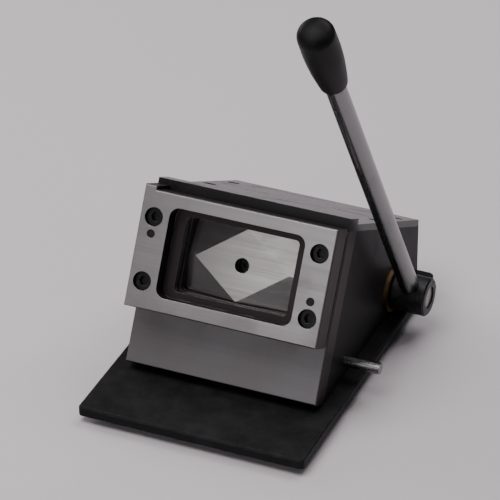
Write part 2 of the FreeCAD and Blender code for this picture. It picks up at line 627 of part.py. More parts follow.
die = new_body("die_plate", "head")
add(die, "XY", "0 - die_thick", "die_thick", [outline([
    (f"0 - {HALF_HEAD}", "0 - die_bottom"),
    (HALF_HEAD, "0 - die_bottom"),
    (HALF_HEAD, "die_top"),
    (TAB_EDGE, "die_top"),
    (TAB_EDGE, BODY_TOP),
    (f"0 - {HALF_HEAD}", BODY_TOP),
])])
bevel(die, "edge_break", lambda edge: edge.BoundBox.ZMin > -number("edge_break"))
cut(die, "XY", "0 - die_thick", "die_thick", [CARD_LOOP])
cut(die, "XY", "die_land - die_thick", "die_thick - die_land",
    [rounded("relief_width / 2", "relief_height / 2", "relief_corner")])
cut(die, "XY", "0 - die_thick", "die_thick", [ring(x, y, SCREW_HOLE) for x, y in DIE_SCREW_PLACES])
cut(die, "XY", "0 - screw_sink", "screw_sink",
    [ring(x, y, "screw_head + 2 * hole_clearance") for x, y in DIE_SCREW_PLACES])
cut(die, "XY", "0 - die_thick", "die_thick", [ring(x, y, DOWEL_HOLE) for x, y in DIE_DOWEL_PLACES])

spacer = new_body("left_spacer", "head")
add(spacer, "XY", f"0 - {GUIDE_FRONT}", "card_slot", [outline([
    (f"0 - {HALF_HEAD}", "0 - die_bottom"),
    (f"spacer_width - {HALF_HEAD}", "0 - die_bottom"),
    (f"spacer_width - {HALF_HEAD}", "die_top - spacer_drop"),
    (TAB_EDGE, "die_top - spacer_drop"),
    (TAB_EDGE, BODY_TOP),
    (f"0 - {HALF_HEAD}", BODY_TOP),
])])
left_screws = on_side(DIE_SCREW_PLACES, -1)
right_screws = on_side(DIE_SCREW_PLACES, 1)
cut(spacer, "XY", f"0 - {GUIDE_FRONT}", "card_slot", [ring(x, y, SCREW_HOLE) for x, y in left_screws])
cut(spacer, "XY", f"0 - {GUIDE_FRONT}", "card_slot", [ring(*DIE_DOWEL_PLACES[0], DOWEL_HOLE)])

bushes = new_body("right_spacers", "head")
add(bushes, "XY", f"0 - {GUIDE_FRONT}", "card_slot", [ring(x, y, "bush_spacer") for x, y in right_screws])
cut(bushes, "XY", f"0 - {GUIDE_FRONT}", "card_slot", [ring(x, y, SCREW_HOLE) for x, y in right_screws])

screws("die_screws", "head", "XY", "0 - screw_sink", 1, DIE_SCREW_PLACES, DIE_SCREW)
rods("die_dowels", "head", "XY", f"edge_break - {GUIDE_BACK}", f"{GUIDE_BACK} - edge_break - dowel_sink",
     DIE_DOWEL_PLACES, "dowel_diameter", keep=True)


# The punch, whose four ground corners leave a diamond-shaped flat, and its ram

FLAT_X = "(card_width / 2 - shear_side_inset)"
FLAT_Y = "(card_height / 2 - shear_top_inset)"
FLAT_REACH = f"({FLAT_X} * {FLAT_Y} / sqrt({FLAT_X} * {FLAT_X} + {FLAT_Y} * {FLAT_Y}))"
FLAT_TURN = f"atan({FLAT_X} / {FLAT_Y})"
CARD_SPAN = "(card_width + card_height)"
PUNCH_DOWEL_PLACES = [("0 - punch_dowel_reach", "0"), ("punch_dowel_reach", "0")]


def grind_corner(body, turn):
    """A corner ground down to a plane that slopes away from one edge of the flat."""
    face = f"0 - {PUNCH_FRONT}"
    sketch = draw(body, "XZ", "0", [outline([
        (FLAT_REACH, face),
        (CARD_SPAN, f"{face} - ({CARD_SPAN} - {FLAT_REACH}) * tan(shear_angle)"),
        (CARD_SPAN, f"{face} + overrun"),
        (FLAT_REACH, f"{face} + overrun"),
    ])])
    spin = FreeCAD.Rotation(FreeCAD.Vector(0, 1, 0), number(turn))
    sketch.AttachmentOffset = FreeCAD.Placement(FreeCAD.Vector(0, 0, 0), spin)
    bind(sketch, "AttachmentOffset.Rotation.Angle", turn)
    pocket = body.newObject("PartDesign::Pocket", f"{body.Name}_corner")
    pocket.Profile = sketch
    pocket.Midplane = True
    bind(pocket, "Length", f"2 * {CARD_SPAN}")


punch = new_body("punch", "head")
add(punch, "XY", f"0 - {PUNCH_BACK}", "punch_length",
    [rounded("(card_width / 2 - punch_clearance)", "(card_height / 2 - punch_clearance)", "card_corner")])
for turn in (FLAT_TURN, f"180 deg - {FLAT_TURN}", f"180 deg + {FLAT_TURN}", f"360 deg - {FLAT_TURN}"):
    grind_corner(punch, turn)
cut(punch, "XY", f"0 - {PUNCH_BACK}", "punch_length",
    [ring("0", "0", "punch_screw_diameter + 2 * hole_clearance")])
cut(punch, "XY", f"0 - ({PUNCH_FRONT} + punch_screw_sink)", "punch_screw_sink",
    [ring("0", "0", "punch_screw_head + 2 * hole_clearance")])
cut(punch, "XY", f"0 - {PUNCH_BACK}", "punch_dowel_depth",
    [ring(x, y, DOWEL_HOLE) for x, y in PUNCH_DOWEL_PLACES])
screws("punch_screw", "head", "XY", f"0 - ({PUNCH_FRONT} + punch_screw_sink)", 1, [("0", "0")], PUNCH_SCREW)
rods("punch_dowels", "head", "XY", f"edge_break - ({PUNCH_BACK} + punch_dowel_depth)",
     "2 * (punch_dowel_depth - edge_break)", PUNCH_DOWEL_PLACES, "dowel_diameter", keep=True)

RAM_X = "(ram_width / 2)"
RAM_Y = "(ram_height / 2)"
TONGUE_X = "(ram_width / 2 + tongue_depth)"
TONGUE_Y = "(tongue_height / 2)"
PAD_SCREW_PLACES = [
    (f"{i} * (pad_width / 2 - pad_screw_inset)", f"{PAD_MIDDLE} + {j} * (pad_height / 2 - pad_screw_inset)")
    for i in (-1, 1) for j in (-1, 1)
]
STUD_PLACES = [("0 - spring_reach", f"0 - {STUD_DEPTH}"), ("spring_reach", f"0 - {STUD_DEPTH}")]

ram = new_body("ram_block", "head")
add(ram, "XY", f"0 - {RAM_BACK}", RAM_LENGTH, [outline([
    (f"0 - {RAM_X}", f"0 - {RAM_Y}"), (RAM_X, f"0 - {RAM_Y}"),
    (RAM_X, f"0 - {TONGUE_Y}"), (TONGUE_X, f"0 - {TONGUE_Y}"),
    (TONGUE_X, TONGUE_Y), (RAM_X, TONGUE_Y),
    (RAM_X, RAM_Y), (f"0 - {RAM_X}", RAM_Y),
    (f"0 - {RAM_X}", TONGUE_Y), (f"0 - {TONGUE_X}", TONGUE_Y),
    (f"0 - {TONGUE_X}", f"0 - {TONGUE_Y}"), (f"0 - {RAM_X}", f"0 - {TONGUE_Y}"),
])])
RAM_SCREW_BITE = "(punch_screw_sink + punch_screw_length - punch_length)"
cut(ram, "XY", f"0 - ({PUNCH_BACK} + {RAM_SCREW_BITE})", RAM_SCREW_BITE,
    [ring("0", "0", "punch_screw_diameter + 2 * fit_clearance")])
cut(ram, "XY", f"0 - ({PUNCH_BACK} + punch_dowel_depth)", "punch_dowel_depth",
    [ring(x, y, DOWEL_HOLE) for x, y in PUNCH_DOWEL_PLACES])
cut(ram, "XY", f"0 - {RAM_BACK}", "small_screw_length",
    [ring(x, y, SMALL_HOLE) for x, y in PAD_SCREW_PLACES])
cut(ram, "XZ", f"0 - {RAM_Y}", "stud_depth",
    [ring(x, y, "stud_diameter + 2 * fit_clearance") for x, y in STUD_PLACES])

pad = new_body("cam_pad", "head")
add(pad, "XY", f"0 - {PAD_BACK}", "pad_thick", [box_outline(
    "0 - pad_width / 2", f"{PAD_MIDDLE} - pad_height / 2",
    "pad_width / 2", f"{PAD_MIDDLE} + pad_height / 2")])
cut(pad, "XY", f"0 - {PAD_BACK}", "pad_thick", [ring(x, y, SMALL_FREE) for x, y in PAD_SCREW_PLACES])
cut(pad, "XY", f"0 - {PAD_BACK}", "small_screw_sink",
    [ring(x, y, SMALL_HEAD_HOLE) for x, y in PAD_SCREW_PLACES])
PAD_SCREW = (*SMALL_SCREW[:3], "(small_screw_length + pad_thick - small_screw_sink)")
screws("cam_pad_screws", "head", "XY", f"small_screw_sink - {PAD_BACK}", -1, PAD_SCREW_PLACES, PAD_SCREW)

studs = new_body("spring_studs", "head")
STUD_TOP = f"({SPRING_LINE} + groove_width / 2)"
STUD_FOOT = f"({RAM_Y} - stud_depth)"
NECK_FOOT = f"({SPRING_LINE} - groove_width / 2)"
add(studs, "XZ", f"0 - {NECK_FOOT}", f"{NECK_FOOT} - {STUD_FOOT}",
    [ring(x, y, "stud_diameter") for x, y in STUD_PLACES])
add(studs, "XZ", f"0 - {STUD_TOP}", "groove_width", [ring(x, y, "stud_neck") for x, y in STUD_PLACES])
add(studs, "XZ", f"0 - ({STUD_TOP} + spring_wire)", "spring_wire",
    [ring(x, y, "stud_diameter") for x, y in STUD_PLACES])


# The rails that guide the ram, and their screws

RAIL_IN = "(ram_width / 2 + rail_gap)"
GROOVE_Y = "(tongue_height / 2 + slide_clearance)"
RAIL_SEAT = f"({RAIL_FLOOR} + small_screw_sink)"


def guide_rail(side_name, side):
    """A rail with the groove that one of the ram's tongues slides in, and its screws."""
    rail = new_body(f"{side_name}_guide_rail", "head")
    shape = [
        (RAIL_IN, "0 - rail_height / 2"), (SIDE_IN, "0 - rail_height / 2"),
        (SIDE_IN, "rail_height / 2"), (RAIL_IN, "rail_height / 2"),
        (RAIL_IN, GROOVE_Y), (RAIL_FLOOR, GROOVE_Y),
        (RAIL_FLOOR, f"0 - {GROOVE_Y}"), (RAIL_IN, f"0 - {GROOVE_Y}"),
    ]
    if side < 0:
        shape = [(f"0 - {x}", y) for x, y in shape]
    add(rail, "XY", f"0 - ({RAIL_FRONT} + {RAIL_LENGTH})", RAIL_LENGTH, [outline(shape)])
    start = RAIL_FLOOR if side > 0 else f"0 - {SIDE_IN}"
    cut(rail, "YZ", start, f"{SIDE_IN} - {RAIL_FLOOR}",
        [ring(x, y, SMALL_FREE) for x, y in RAIL_SCREW_PLACES])
    start = RAIL_FLOOR if side > 0 else f"0 - {RAIL_SEAT}"
    cut(rail, "YZ", start, "small_screw_sink", [ring(x, y, SMALL_HEAD_HOLE) for x, y in RAIL_SCREW_PLACES])
    seat = RAIL_SEAT if side > 0 else f"0 - {RAIL_SEAT}"
    names = (*SMALL_SCREW[:3], f"({SIDE_IN} - {RAIL_SEAT} + small_screw_length)")
    screws(f"{side_name}_rail_screws", "head", "YZ", seat, -side, RAIL_SCREW_PLACES, names)


guide_rail("left", -1)
guide_rail("right", 1)


# The main shaft, its bushes, the collar and the cam

SHAFT_R = "(shaft_diameter / 2)"
SHAFT_END_R = "(shaft_end_diameter / 2)"
SHAFT_LEFT = f"(0 - {HALF_HEAD} - flange_thick)"
SHAFT_STEP = f"({HALF_HEAD} + flange_thick)"
SHAFT_RIGHT = f"({HUB_START} + hub_length - hub_break)"

shaft = turned("main_shaft", "lever", [
    (SHAFT_LEFT, "0"),
    (SHAFT_RIGHT, "0"),
    (SHAFT_RIGHT, SHAFT_END_R),
    (SHAFT_STEP, SHAFT_END_R),
    (SHAFT_STEP, SHAFT_R),
    (f"{SHAFT_LEFT} + edge_break", SHAFT_R),
    (SHAFT_LEFT, f"{SHAFT_R} - edge_break"),
])
cut(shaft, "XY", f"{SHAFT_R} - key_width / 2", "key_width", [box_outline(
    "0 - key_length / 2", "0 - key_width / 2", "key_length / 2", "key_width / 2")])
cut(shaft, "XY", "0 - rod_bite", f"rod_bite + {SHAFT_R}",
    [ring(LEVER_X, "0", "rod_tang + 2 * fit_clearance")])


def shaft_bush(label, side):
    """A flanged bush in a side plate, with its flange outside."""
    inner = "(shaft_diameter / 2 + shaft_play)"
    xs = (SIDE_IN, SHAFT_STEP, HALF_HEAD)
    if side < 0:
        xs = [f"(0 - {x})" for x in xs]
    turned(label, "shaft", [
        (xs[0], inner), (xs[1], inner),
        (xs[1], "flange_diameter / 2"), (xs[2], "flange_diameter / 2"),
        (xs[2], "bush_diameter / 2"), (xs[0], "bush_diameter / 2"),
    ])


shaft_bush("left_bush", -1)
shaft_bush("right_bush", 1)

COLLAR_LEFT = f"(end_gap - {SIDE_IN})"
COLLAR_MIDDLE = f"({COLLAR_LEFT} + collar_width / 2)"
collar = turned("shaft_collar", "lever", [
    (COLLAR_LEFT, f"{SHAFT_R} + fit_clearance"),
    (f"{COLLAR_LEFT} + collar_width", f"{SHAFT_R} + fit_clearance"),
    (f"{COLLAR_LEFT} + collar_width", "collar_diameter / 2 - edge_break"),
    (f"{COLLAR_LEFT} + collar_width - edge_break", "collar_diameter / 2"),
    (f"{COLLAR_LEFT} + edge_break", "collar_diameter / 2"),
    (COLLAR_LEFT, "collar_diameter / 2 - edge_break"),
])
cut(collar, "XY", "0", "collar_diameter", [ring(COLLAR_MIDDLE, "0", "grub_diameter + 2 * fit_clearance")])
rods("collar_set_screw", "lever", "XY", f"{SHAFT_R} + fit_clearance",
     f"collar_diameter / 2 - {SHAFT_R} - edge_break", [(COLLAR_MIDDLE, "0")], "grub_diameter", keep=True)


def cam_shape():
    """The cam's disc: its working flank is an involute, so the pad moves in step with the lever.

    The flank's distance from the shaft, square to the pad, grows evenly with the lever's angle.
    """
    rise = number(CAM_RISE)
    low = number("cam_low")
    heel = number("heel_radius")
    travel = math.radians(number("travel_angle"))

    def flank(turn):
        reach = low + rise * turn
        face = math.pi / 2 - turn
        along = reach * math.cos(face) + rise * math.sin(face)
        out = reach * math.sin(face) - rise * math.cos(face)
        return FreeCAD.Vector(0, along, out)

    def touch(point, side):
        """Where the line from the point touches the heel's circle."""
        swing = math.acos(heel / point.Length)
        angle = math.atan2(point.z, point.y) + side * swing
        return FreeCAD.Vector(0, heel * math.cos(angle), heel * math.sin(angle))

    margin = travel / 12
    steps = 10
    turns = [(travel + 2 * margin) * i / steps - margin for i in range(steps + 1)]
    flank_points = [flank(turn) for turn in turns]
    first, last = flank_points[0], flank_points[-1]
    start = touch(first, 1)
    end = touch(last, -1)
    back = (start + end).normalize() * -heel
    if back.dot(first + last) > 0:
        back = back * -1
    curve = Part.BSplineCurve()
    curve.interpolate(flank_points)
    wire = Part.Wire([
        Part.LineSegment(start, first).toShape(),
        curve.toShape(),
        Part.LineSegment(last, end).toShape(),
        Part.Arc(end, back, start).toShape(),
    ])
    width = number("cam_width")
    disc = Part.Face(wire).extrude(FreeCAD.Vector(width, 0, 0))
    disc.translate(FreeCAD.Vector(-width / 2, 0, 0))
    bore = Part.makeCylinder(number(f"{SHAFT_R} + fit_clearance"), width * 2,
                             FreeCAD.Vector(-width, 0, 0), FreeCAD.Vector(1, 0, 0))
    return disc.cut(bore)


cam_blank = doc.addObject("Part::Feature", "cam_blank")
cam_blank.Shape = cam_shape()
place(cam_blank, "shaft")
KEY_LOOPS = [box_outline("0 - key_length / 2", "0 - key_width / 2", "key_length / 2", "key_width / 2")]
key = new_body("cam_key", "lever")
add(key, "XY", f"{SHAFT_R} - key_width / 2", "key_width", KEY_LOOPS)
key_way = new_body("cam_key_way", "lever", keep=False)
add(key_way, "XY", "0", f"{SHAFT_R} + key_width / 2 + fit_clearance", [box_outline(
    "0 - cam_width", "0 - (key_width / 2 + fit_clearance)", "cam_width", "key_width / 2 + fit_clearance")])
less("cam", cam_blank, [key_way])


# The lever: hub, rod and grip, and the pin that stops it

hub = turned("lever_hub", "lever", [
    (HUB_START, f"{SHAFT_END_R} + fit_clearance"),
    (f"{HUB_START} + hub_length", f"{SHAFT_END_R} + fit_clearance"),
    (f"{HUB_START} + hub_length", "hub_diameter / 2 - hub_break"),
    (f"{HUB_START} + hub_length - hub_break", "hub_diameter / 2"),
    (f"{HUB_START} + hub_break", "hub_diameter / 2"),
    (HUB_START, "hub_diameter / 2 - hub_break"),
])
cut(hub, "XY", "0", "hub_diameter", [ring(LEVER_X, "0", "rod_tang + 2 * fit_clearance")])
cut(hub, "XY", "0 - hub_diameter", "hub_diameter",
    [ring(LEVER_X, "0", "grub_diameter + 2 * fit_clearance")])
rods("hub_set_screw", "lever", "XY", "edge_break - hub_diameter / 2",
     f"hub_diameter / 2 - {SHAFT_END_R} - edge_break - fit_clearance", [(LEVER_X, "0")],
     "grub_diameter", keep=True)

ROD_END = "(grip_start + grip_bore)"
ROD_FOOT = "(sqrt(hub_diameter * hub_diameter - rod_diameter * rod_diameter) / 2)"
rod_blank = new_body("lever_rod_blank", "lever", keep=False)
add(rod_blank, "XY", "0 - rod_bite", f"rod_bite + {ROD_END}", [ring(LEVER_X, "0", "rod_tang")])
add(rod_blank, "XY", ROD_FOOT, f"{ROD_END} - {ROD_FOOT}", [ring(LEVER_X, "0", "rod_diameter")])
hub_round = turned("lever_rod_saddle", "lever", [
    (f"{HUB_START} - overrun", "shaft_end_diameter / 2"),
    (f"{HUB_START} + hub_length + overrun", "shaft_end_diameter / 2"),
    (f"{HUB_START} + hub_length + overrun", "hub_diameter / 2 + fit_clearance"),
    (f"{HUB_START} - overrun", "hub_diameter / 2 + fit_clearance"),
], keep=False)
tang_sleeve = new_body("lever_rod_sleeve", "lever", keep=False)
add(tang_sleeve, "XY", "0", "hub_diameter", [ring(LEVER_X, "0", "rod_tang")])
saddle = doc.addObject("Part::Cut", "lever_rod_shoulder")
saddle.Base = hub_round
saddle.Tool = tang_sleeve
less("lever_rod", rod_blank, [saddle])

GRIP_R = "(grip_high / 2)"
GRIP_LOW_R = "(grip_low / 2)"
BORE_R = "(rod_diameter / 2 + fit_clearance)"
MOUTH_R = f"({BORE_R} + grip_mouth)"
GRIP_ROUND = f"({GRIP_LOW_R} - {MOUTH_R})"
SHOULDER_R = "(grip_high / 2 - grip_shoulder)"
DOME_ROOM = "(grip_dome - grip_shoulder)"
DOME_SHARE = f"(grip_dome / {DOME_ROOM})"
SHOULDER_RISE = f"sqrt({DOME_ROOM} * {DOME_ROOM} - {SHOULDER_R} * {SHOULDER_R})"
GRIP_TOP = "(grip_start + grip_length)"
SHOULDER_Z = f"({GRIP_TOP} - grip_dome + {SHOULDER_RISE})"
grip = new_body("grip", "lever")
grip_turn = grip.newObject("PartDesign::Revolution", "grip_turn")
grip_sketch = draw(grip, "XZ", "0", [outline([
    (f"{LEVER_X} + {BORE_R}", "grip_start"),
    (f"{LEVER_X} + {MOUTH_R}", "grip_start", GRIP_ROUND),
    (f"{LEVER_X} + {GRIP_LOW_R}", f"grip_start + {GRIP_ROUND}"),
    (f"{LEVER_X} + {GRIP_R}", SHOULDER_Z, "grip_shoulder"),
    (f"{LEVER_X} + {SHOULDER_R} * {DOME_SHARE}", f"{GRIP_TOP} - grip_dome + {SHOULDER_RISE} * {DOME_SHARE}",
     "grip_dome"),
    (LEVER_X, GRIP_TOP),
    (LEVER_X, "grip_start + grip_bore"),
    (f"{LEVER_X} + {BORE_R}", "grip_start + grip_bore"),
])])
AXIS_ENDS = [FreeCAD.Vector(number(LEVER_X), number(z), 0) for z in ("0", "grip_start")]
axis_line = grip_sketch.addGeometry(Part.LineSegment(*AXIS_ENDS), True)
hold(grip_sketch, "DistanceX", axis_line, 1, LEVER_X)
hold(grip_sketch, "DistanceY", axis_line, 1, "0")
hold(grip_sketch, "DistanceX", axis_line, 2, LEVER_X)
hold(grip_sketch, "DistanceY", axis_line, 2, "grip_start")
grip_turn.Profile = grip_sketch
grip_turn.ReferenceAxis = (grip_sketch, ["Axis0"])
grip_turn.Angle = 360

rods("lever_stop_pin", "stopped", "YZ", f"{HALF_HEAD} - stop_in + fit_clearance", "stop_in + stop_out",
     [STOP_PLACE], "stop_diameter", keep=True)


# The spring bar and the two return springs

BAR_R = "(bar_diameter / 2)"
NECK_R = "(bar_neck / 2)"
BAR_END = f"({SIDE_IN} + bar_bite - edge_break)"
grooves = []
for side in (1, -1):
    for edge in (1, -1):
        x = f"({side} * spring_reach + {edge} * groove_width / 2)"
        grooves += [(x, BAR_R), (x, NECK_R)] if edge > 0 else [(x, NECK_R), (x, BAR_R)]
turned("spring_bar", "bar", [
    (f"0 - {BAR_END}", "0"), (BAR_END, "0"), (BAR_END, BAR_R), *grooves, (f"0 - {BAR_END}", BAR_R),
])


def spring_shape(x):
    """A closely wound spring as a tube, with a flat loop at each end."""
    wire = number("spring_wire")
    gap = number("spring_gap")
    line = number(SPRING_LINE)
    outside = number("spring_coil") / 2
    stud = FreeCAD.Vector(x, line, -number(STUD_DEPTH))
    bar = FreeCAD.Vector(x, line, -number(BAR_DEPTH))
    along = (bar - stud).normalize()

    def loop(centre, axis, held):
        """A flat ring of the wire's thickness round what it is hooked to."""
        inner = number(held) / 2 + gap
        low = centre - axis * wire / 2
        ring = Part.makeCylinder(inner + wire, wire, low, axis)
        return ring.cut(Part.makeCylinder(inner, wire, low, axis)), inner + wire

    front, front_reach = loop(stud, FreeCAD.Vector(0, 1, 0), "stud_neck")
    back, back_reach = loop(bar, FreeCAD.Vector(1, 0, 0), "bar_neck")
    start = stud + along * (front_reach - wire / 2)
    length = (bar - stud).Length - front_reach - back_reach + wire
    coil = Part.makeCylinder(outside, length, start, along)
    hollow = Part.makeCylinder(outside - wire, length - 2 * wire, start + along * wire, along)
    return coil.cut(hollow).fuse([front, back])


for label, side in (("left_return_spring", -1), ("right_return_spring", 1)):
    spring = doc.addObject("Part::Feature", label)
    spring.Shape = spring_shape(side * number("spring_reach"))
    place(spring, "head")
    parts.append(spring)


# Build, check and write

doc.recompute()
for item in doc.Objects:
    bad = {"Invalid", "Error"} & set(item.State)
    if bad:
        raise RuntimeError(f"{item.Name} is {sorted(bad)}")
    if item.TypeId == "PartDesign::Pocket" and item.Shape.Volume >= item.BaseFeature.Shape.Volume:
        raise RuntimeError(f"{item.Name} cuts nothing")

os.makedirs("parts", exist_ok=True)
for part in parts:
    shape = part.Shape
    if shape.isNull() or not shape.isValid() or not shape.Solids:
        raise RuntimeError(f"{part.Label} has no valid solid")
    shape.exportStep(f"parts/{part.Label}.step")
    print(part.Label, len(shape.Solids), round(shape.Volume / 1000, 2), "cm3")
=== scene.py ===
"""Dresses the plastic card cutter: a finish for every piece, a moulded grip, wound springs, the end of the
top cover's lip, and a plain studio."""

import json
import math

import bpy
import numpy as np
from bpy.props import FloatProperty, FloatVectorProperty, PointerProperty
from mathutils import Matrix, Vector


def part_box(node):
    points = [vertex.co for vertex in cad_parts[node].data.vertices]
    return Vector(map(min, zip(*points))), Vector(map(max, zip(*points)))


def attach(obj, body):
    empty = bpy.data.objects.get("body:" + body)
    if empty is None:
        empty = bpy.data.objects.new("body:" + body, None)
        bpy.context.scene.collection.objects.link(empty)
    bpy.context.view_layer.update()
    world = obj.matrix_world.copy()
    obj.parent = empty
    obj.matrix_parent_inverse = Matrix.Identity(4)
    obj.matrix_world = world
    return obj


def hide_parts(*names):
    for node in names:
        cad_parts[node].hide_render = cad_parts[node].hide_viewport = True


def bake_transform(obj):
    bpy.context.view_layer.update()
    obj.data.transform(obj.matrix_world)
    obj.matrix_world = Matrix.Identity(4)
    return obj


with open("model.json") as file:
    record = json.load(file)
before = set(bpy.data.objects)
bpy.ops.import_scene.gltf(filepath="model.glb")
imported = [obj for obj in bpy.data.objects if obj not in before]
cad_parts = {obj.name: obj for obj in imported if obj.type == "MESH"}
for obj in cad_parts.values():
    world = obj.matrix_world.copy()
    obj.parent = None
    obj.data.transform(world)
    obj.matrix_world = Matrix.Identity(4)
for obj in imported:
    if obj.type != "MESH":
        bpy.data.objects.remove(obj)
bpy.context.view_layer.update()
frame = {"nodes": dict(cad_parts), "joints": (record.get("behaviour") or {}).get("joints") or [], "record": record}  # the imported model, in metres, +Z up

bl_info = {
    "name": "Card cutter finish",
    "version": (1, 0, 0),
    "blender": (4, 5, 0),
    "location": "3D View > Sidebar > Card cutter",
    "description": "Dresses the card cutter's frame with finishes, grip, springs, studio and camera",
    "category": "Object",
}

MM = 0.001
SLOT_COLOURS = {slot["slot"]: tuple(slot["base_color"]) for slot in frame["record"]["materials"]}
JOINTS = {joint["name"]: joint for joint in frame["joints"]}
PUSH = Vector(JOINTS["ram_slide"]["axis"])  # the way the punch moves, square to the die plate
UPWARDS = Vector((0, PUSH.z, -PUSH.y))  # up the die plate's leaning face
SHAFT = Vector(JOINTS["lever_turn"]["pos_m"])  # a point of the shaft's axis, which runs along X
ACROSS = np.array([1.0, 0.0, 0.0])  # along the shaft, to the operator's right


def points_of(name):
    """A node's vertices as an array of rows."""
    mesh = frame["nodes"][name].data
    points = np.empty(len(mesh.vertices) * 3)
    mesh.vertices.foreach_get("co", points)
    return points.reshape(-1, 3)


def lever_line():
    """The lever's line: its origin on the shaft's axis, its direction to the grip, the direction square to it
    that is the lever's front, and the grip's lowest and highest reach along it."""
    low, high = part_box("lever_rod")
    centre_x = (low.x + high.x) / 2
    points = points_of("grip")
    centre = (points.max(0) + points.min(0)) / 2
    origin = np.array([centre_x, SHAFT.y, SHAFT.z])
    towards = points - origin
    spread = towards[:, 1:] - towards[:, 1:].mean(0)
    longest = np.linalg.eigh(spread.T @ spread)[1][:, -1]
    along = np.array([0.0, *longest])
    along *= np.sign(along @ (centre - origin))
    reach = towards @ along
    return origin, along, np.cross(ACROSS, along), reach.min(), reach.max()


def tilt_of(direction):
    """The turn about X that brings +Z onto a direction in the YZ plane."""
    return math.atan2(-direction[1], direction[2])


LEVER_ORIGIN, LEVER_ALONG, LEVER_FRONT, GRIP_LOW, GRIP_HIGH = lever_line()
LEVER_TILT = tilt_of(LEVER_ALONG)


def colour_setting(slot, description):
    """A colour that a user can change, starting from the frame's own."""
    return FloatVectorProperty(name=slot.replace("_", " ").capitalize(), description=description,
                               subtype="COLOR", size=3, min=0.0, max=1.0, default=SLOT_COLOURS[slot])


class CutterColours(bpy.types.PropertyGroup):
    """Colours of the cutter's metals, paints and plastics."""

    die_steel: colour_setting("die_steel", "Ground steel of the die plate")
    guide_steel: colour_setting("guide_steel", "Oiled steel of the plate behind the slot")
    punch_steel: colour_setting("punch_steel", "Ground steel of the punch")
    plain_steel: colour_setting("plain_steel", "Milled steel of the inner pieces")
    bright_steel: colour_setting("bright_steel", "Plated steel of the rod and the stop pin")
    body_paint: colour_setting("body_paint", "Powder coat of the body")
    base_paint: colour_setting("base_paint", "Powder coat of the base plate")
    black_screws: colour_setting("black_screws", "Blacked steel of the screws and dowels")
    hub_black: colour_setting("hub_black", "Blacked steel of the hub and the collar")
    bronze: colour_setting("bronze", "Cast bronze of the bushes")
    spring_steel: colour_setting("spring_steel", "Drawn wire of the return springs")
    grip_plastic: colour_setting("grip_plastic", "Moulded plastic of the grip")
    rubber: colour_setting("rubber", "Rubber of the feet")


class CutterForms(bpy.types.PropertyGroup):
    """Sizes of the pieces that are made here."""

    wire: FloatProperty(name="Spring wire", description="Wire diameter of the return springs",
                        default=1.8 * MM, unit="LENGTH")
    coil: FloatProperty(name="Spring coil", description="Outside diameter of the return springs",
                        default=10.8 * MM, unit="LENGTH")
    parting: FloatProperty(name="Parting line", description="Height of the grip's moulding line",
                           default=0.15 * MM, unit="LENGTH")
    parting_width: FloatProperty(name="Parting width", description="Half width of the moulding line",
                                 default=0.3 * MM, unit="LENGTH")
    grip_mouth: FloatProperty(name="Grip mouth", description="Radius of the round at the grip's lower end",
                              default=2.15 * MM, unit="LENGTH")
    grip_shoulder: FloatProperty(name="Grip shoulder", description="Radius of the grip's shoulder",
                                 default=7.2 * MM, unit="LENGTH")
    grip_dome: FloatProperty(name="Grip dome", description="Radius of the grip's domed top",
                             default=23.9 * MM, unit="LENGTH")
    grip_belly: FloatProperty(name="Grip belly", description="How far the grip's flank swells outwards",
                              default=1.3 * MM, unit="LENGTH")
    lip_skin: FloatProperty(name="Lip skin", description="How far the lip's end stands out left and in front",
                            default=0.2 * MM, unit="LENGTH")
    edge_wear: FloatProperty(name="Edge wear", description="How far wear reaches in from a painted edge",
                             default=0.5 * MM, unit="LENGTH")


class CutterStudio(bpy.types.PropertyGroup):
    """Camera, floor and lights."""

    azimuth: FloatProperty(name="Azimuth", description="Camera's turn from straight in front",
                           default=math.radians(22.856), subtype="ANGLE")
    elevation: FloatProperty(name="Elevation", description="Camera's angle above the desk",
                             default=math.radians(32.283), subtype="ANGLE")
    distance: FloatProperty(name="Distance", description="Camera's distance from what it looks at",
                            default=2.461, unit="LENGTH")
    shift_right: FloatProperty(name="Right", description="Picture's centre right of the desk's centre line",
                               default=-8.07 * MM, unit="LENGTH")
    shift_up: FloatProperty(name="Up", description="Picture's centre above the aim height",
                            default=-6.39 * MM, unit="LENGTH")
    aim_height: FloatProperty(name="Aim height", description="Height over the desk that the camera aims at",
                              default=95.6 * MM, unit="LENGTH")
    lens: FloatProperty(name="Lens", description="Focal length in millimetres on a 36 mm sensor",
                        default=249.7)
    floor_colour: FloatVectorProperty(name="Floor", description="Colour of the floor", subtype="COLOR",
                                      size=3, min=0.0, max=1.0, default=(0.66, 0.63, 0.655))
    lamp_colour: FloatVectorProperty(name="Lamps", description="Colour of the soft boxes", subtype="COLOR",
                                     size=3, min=0.0, max=1.0, default=(1.0, 0.96, 0.98))
    air_colour: FloatVectorProperty(name="Surroundings", description="Colour of the room's soft light",
                                    subtype="COLOR", size=3, min=0.0, max=1.0, default=(0.80, 0.79, 0.82))
    air_strength: FloatProperty(name="Room light", default=0.06,
                                description="Strength of the room's soft light overhead")
    skirt_strength: FloatProperty(name="Skirt light", default=0.22,
                                  description="Strength of the soft light low in the room")


def add_node(tree, kind, links=(), inputs=(), **settings):
    """Adds a shader node. links and inputs pair a socket's name or number with a socket or a value."""
    made = tree.nodes.new(kind)
    for name, value in settings.items():
        setattr(made, name, value)
    for name, value in dict(inputs).items():
        made.inputs[name].default_value = value
    for name, source in dict(links).items():
        tree.links.new(source, made.inputs[name])
    return made


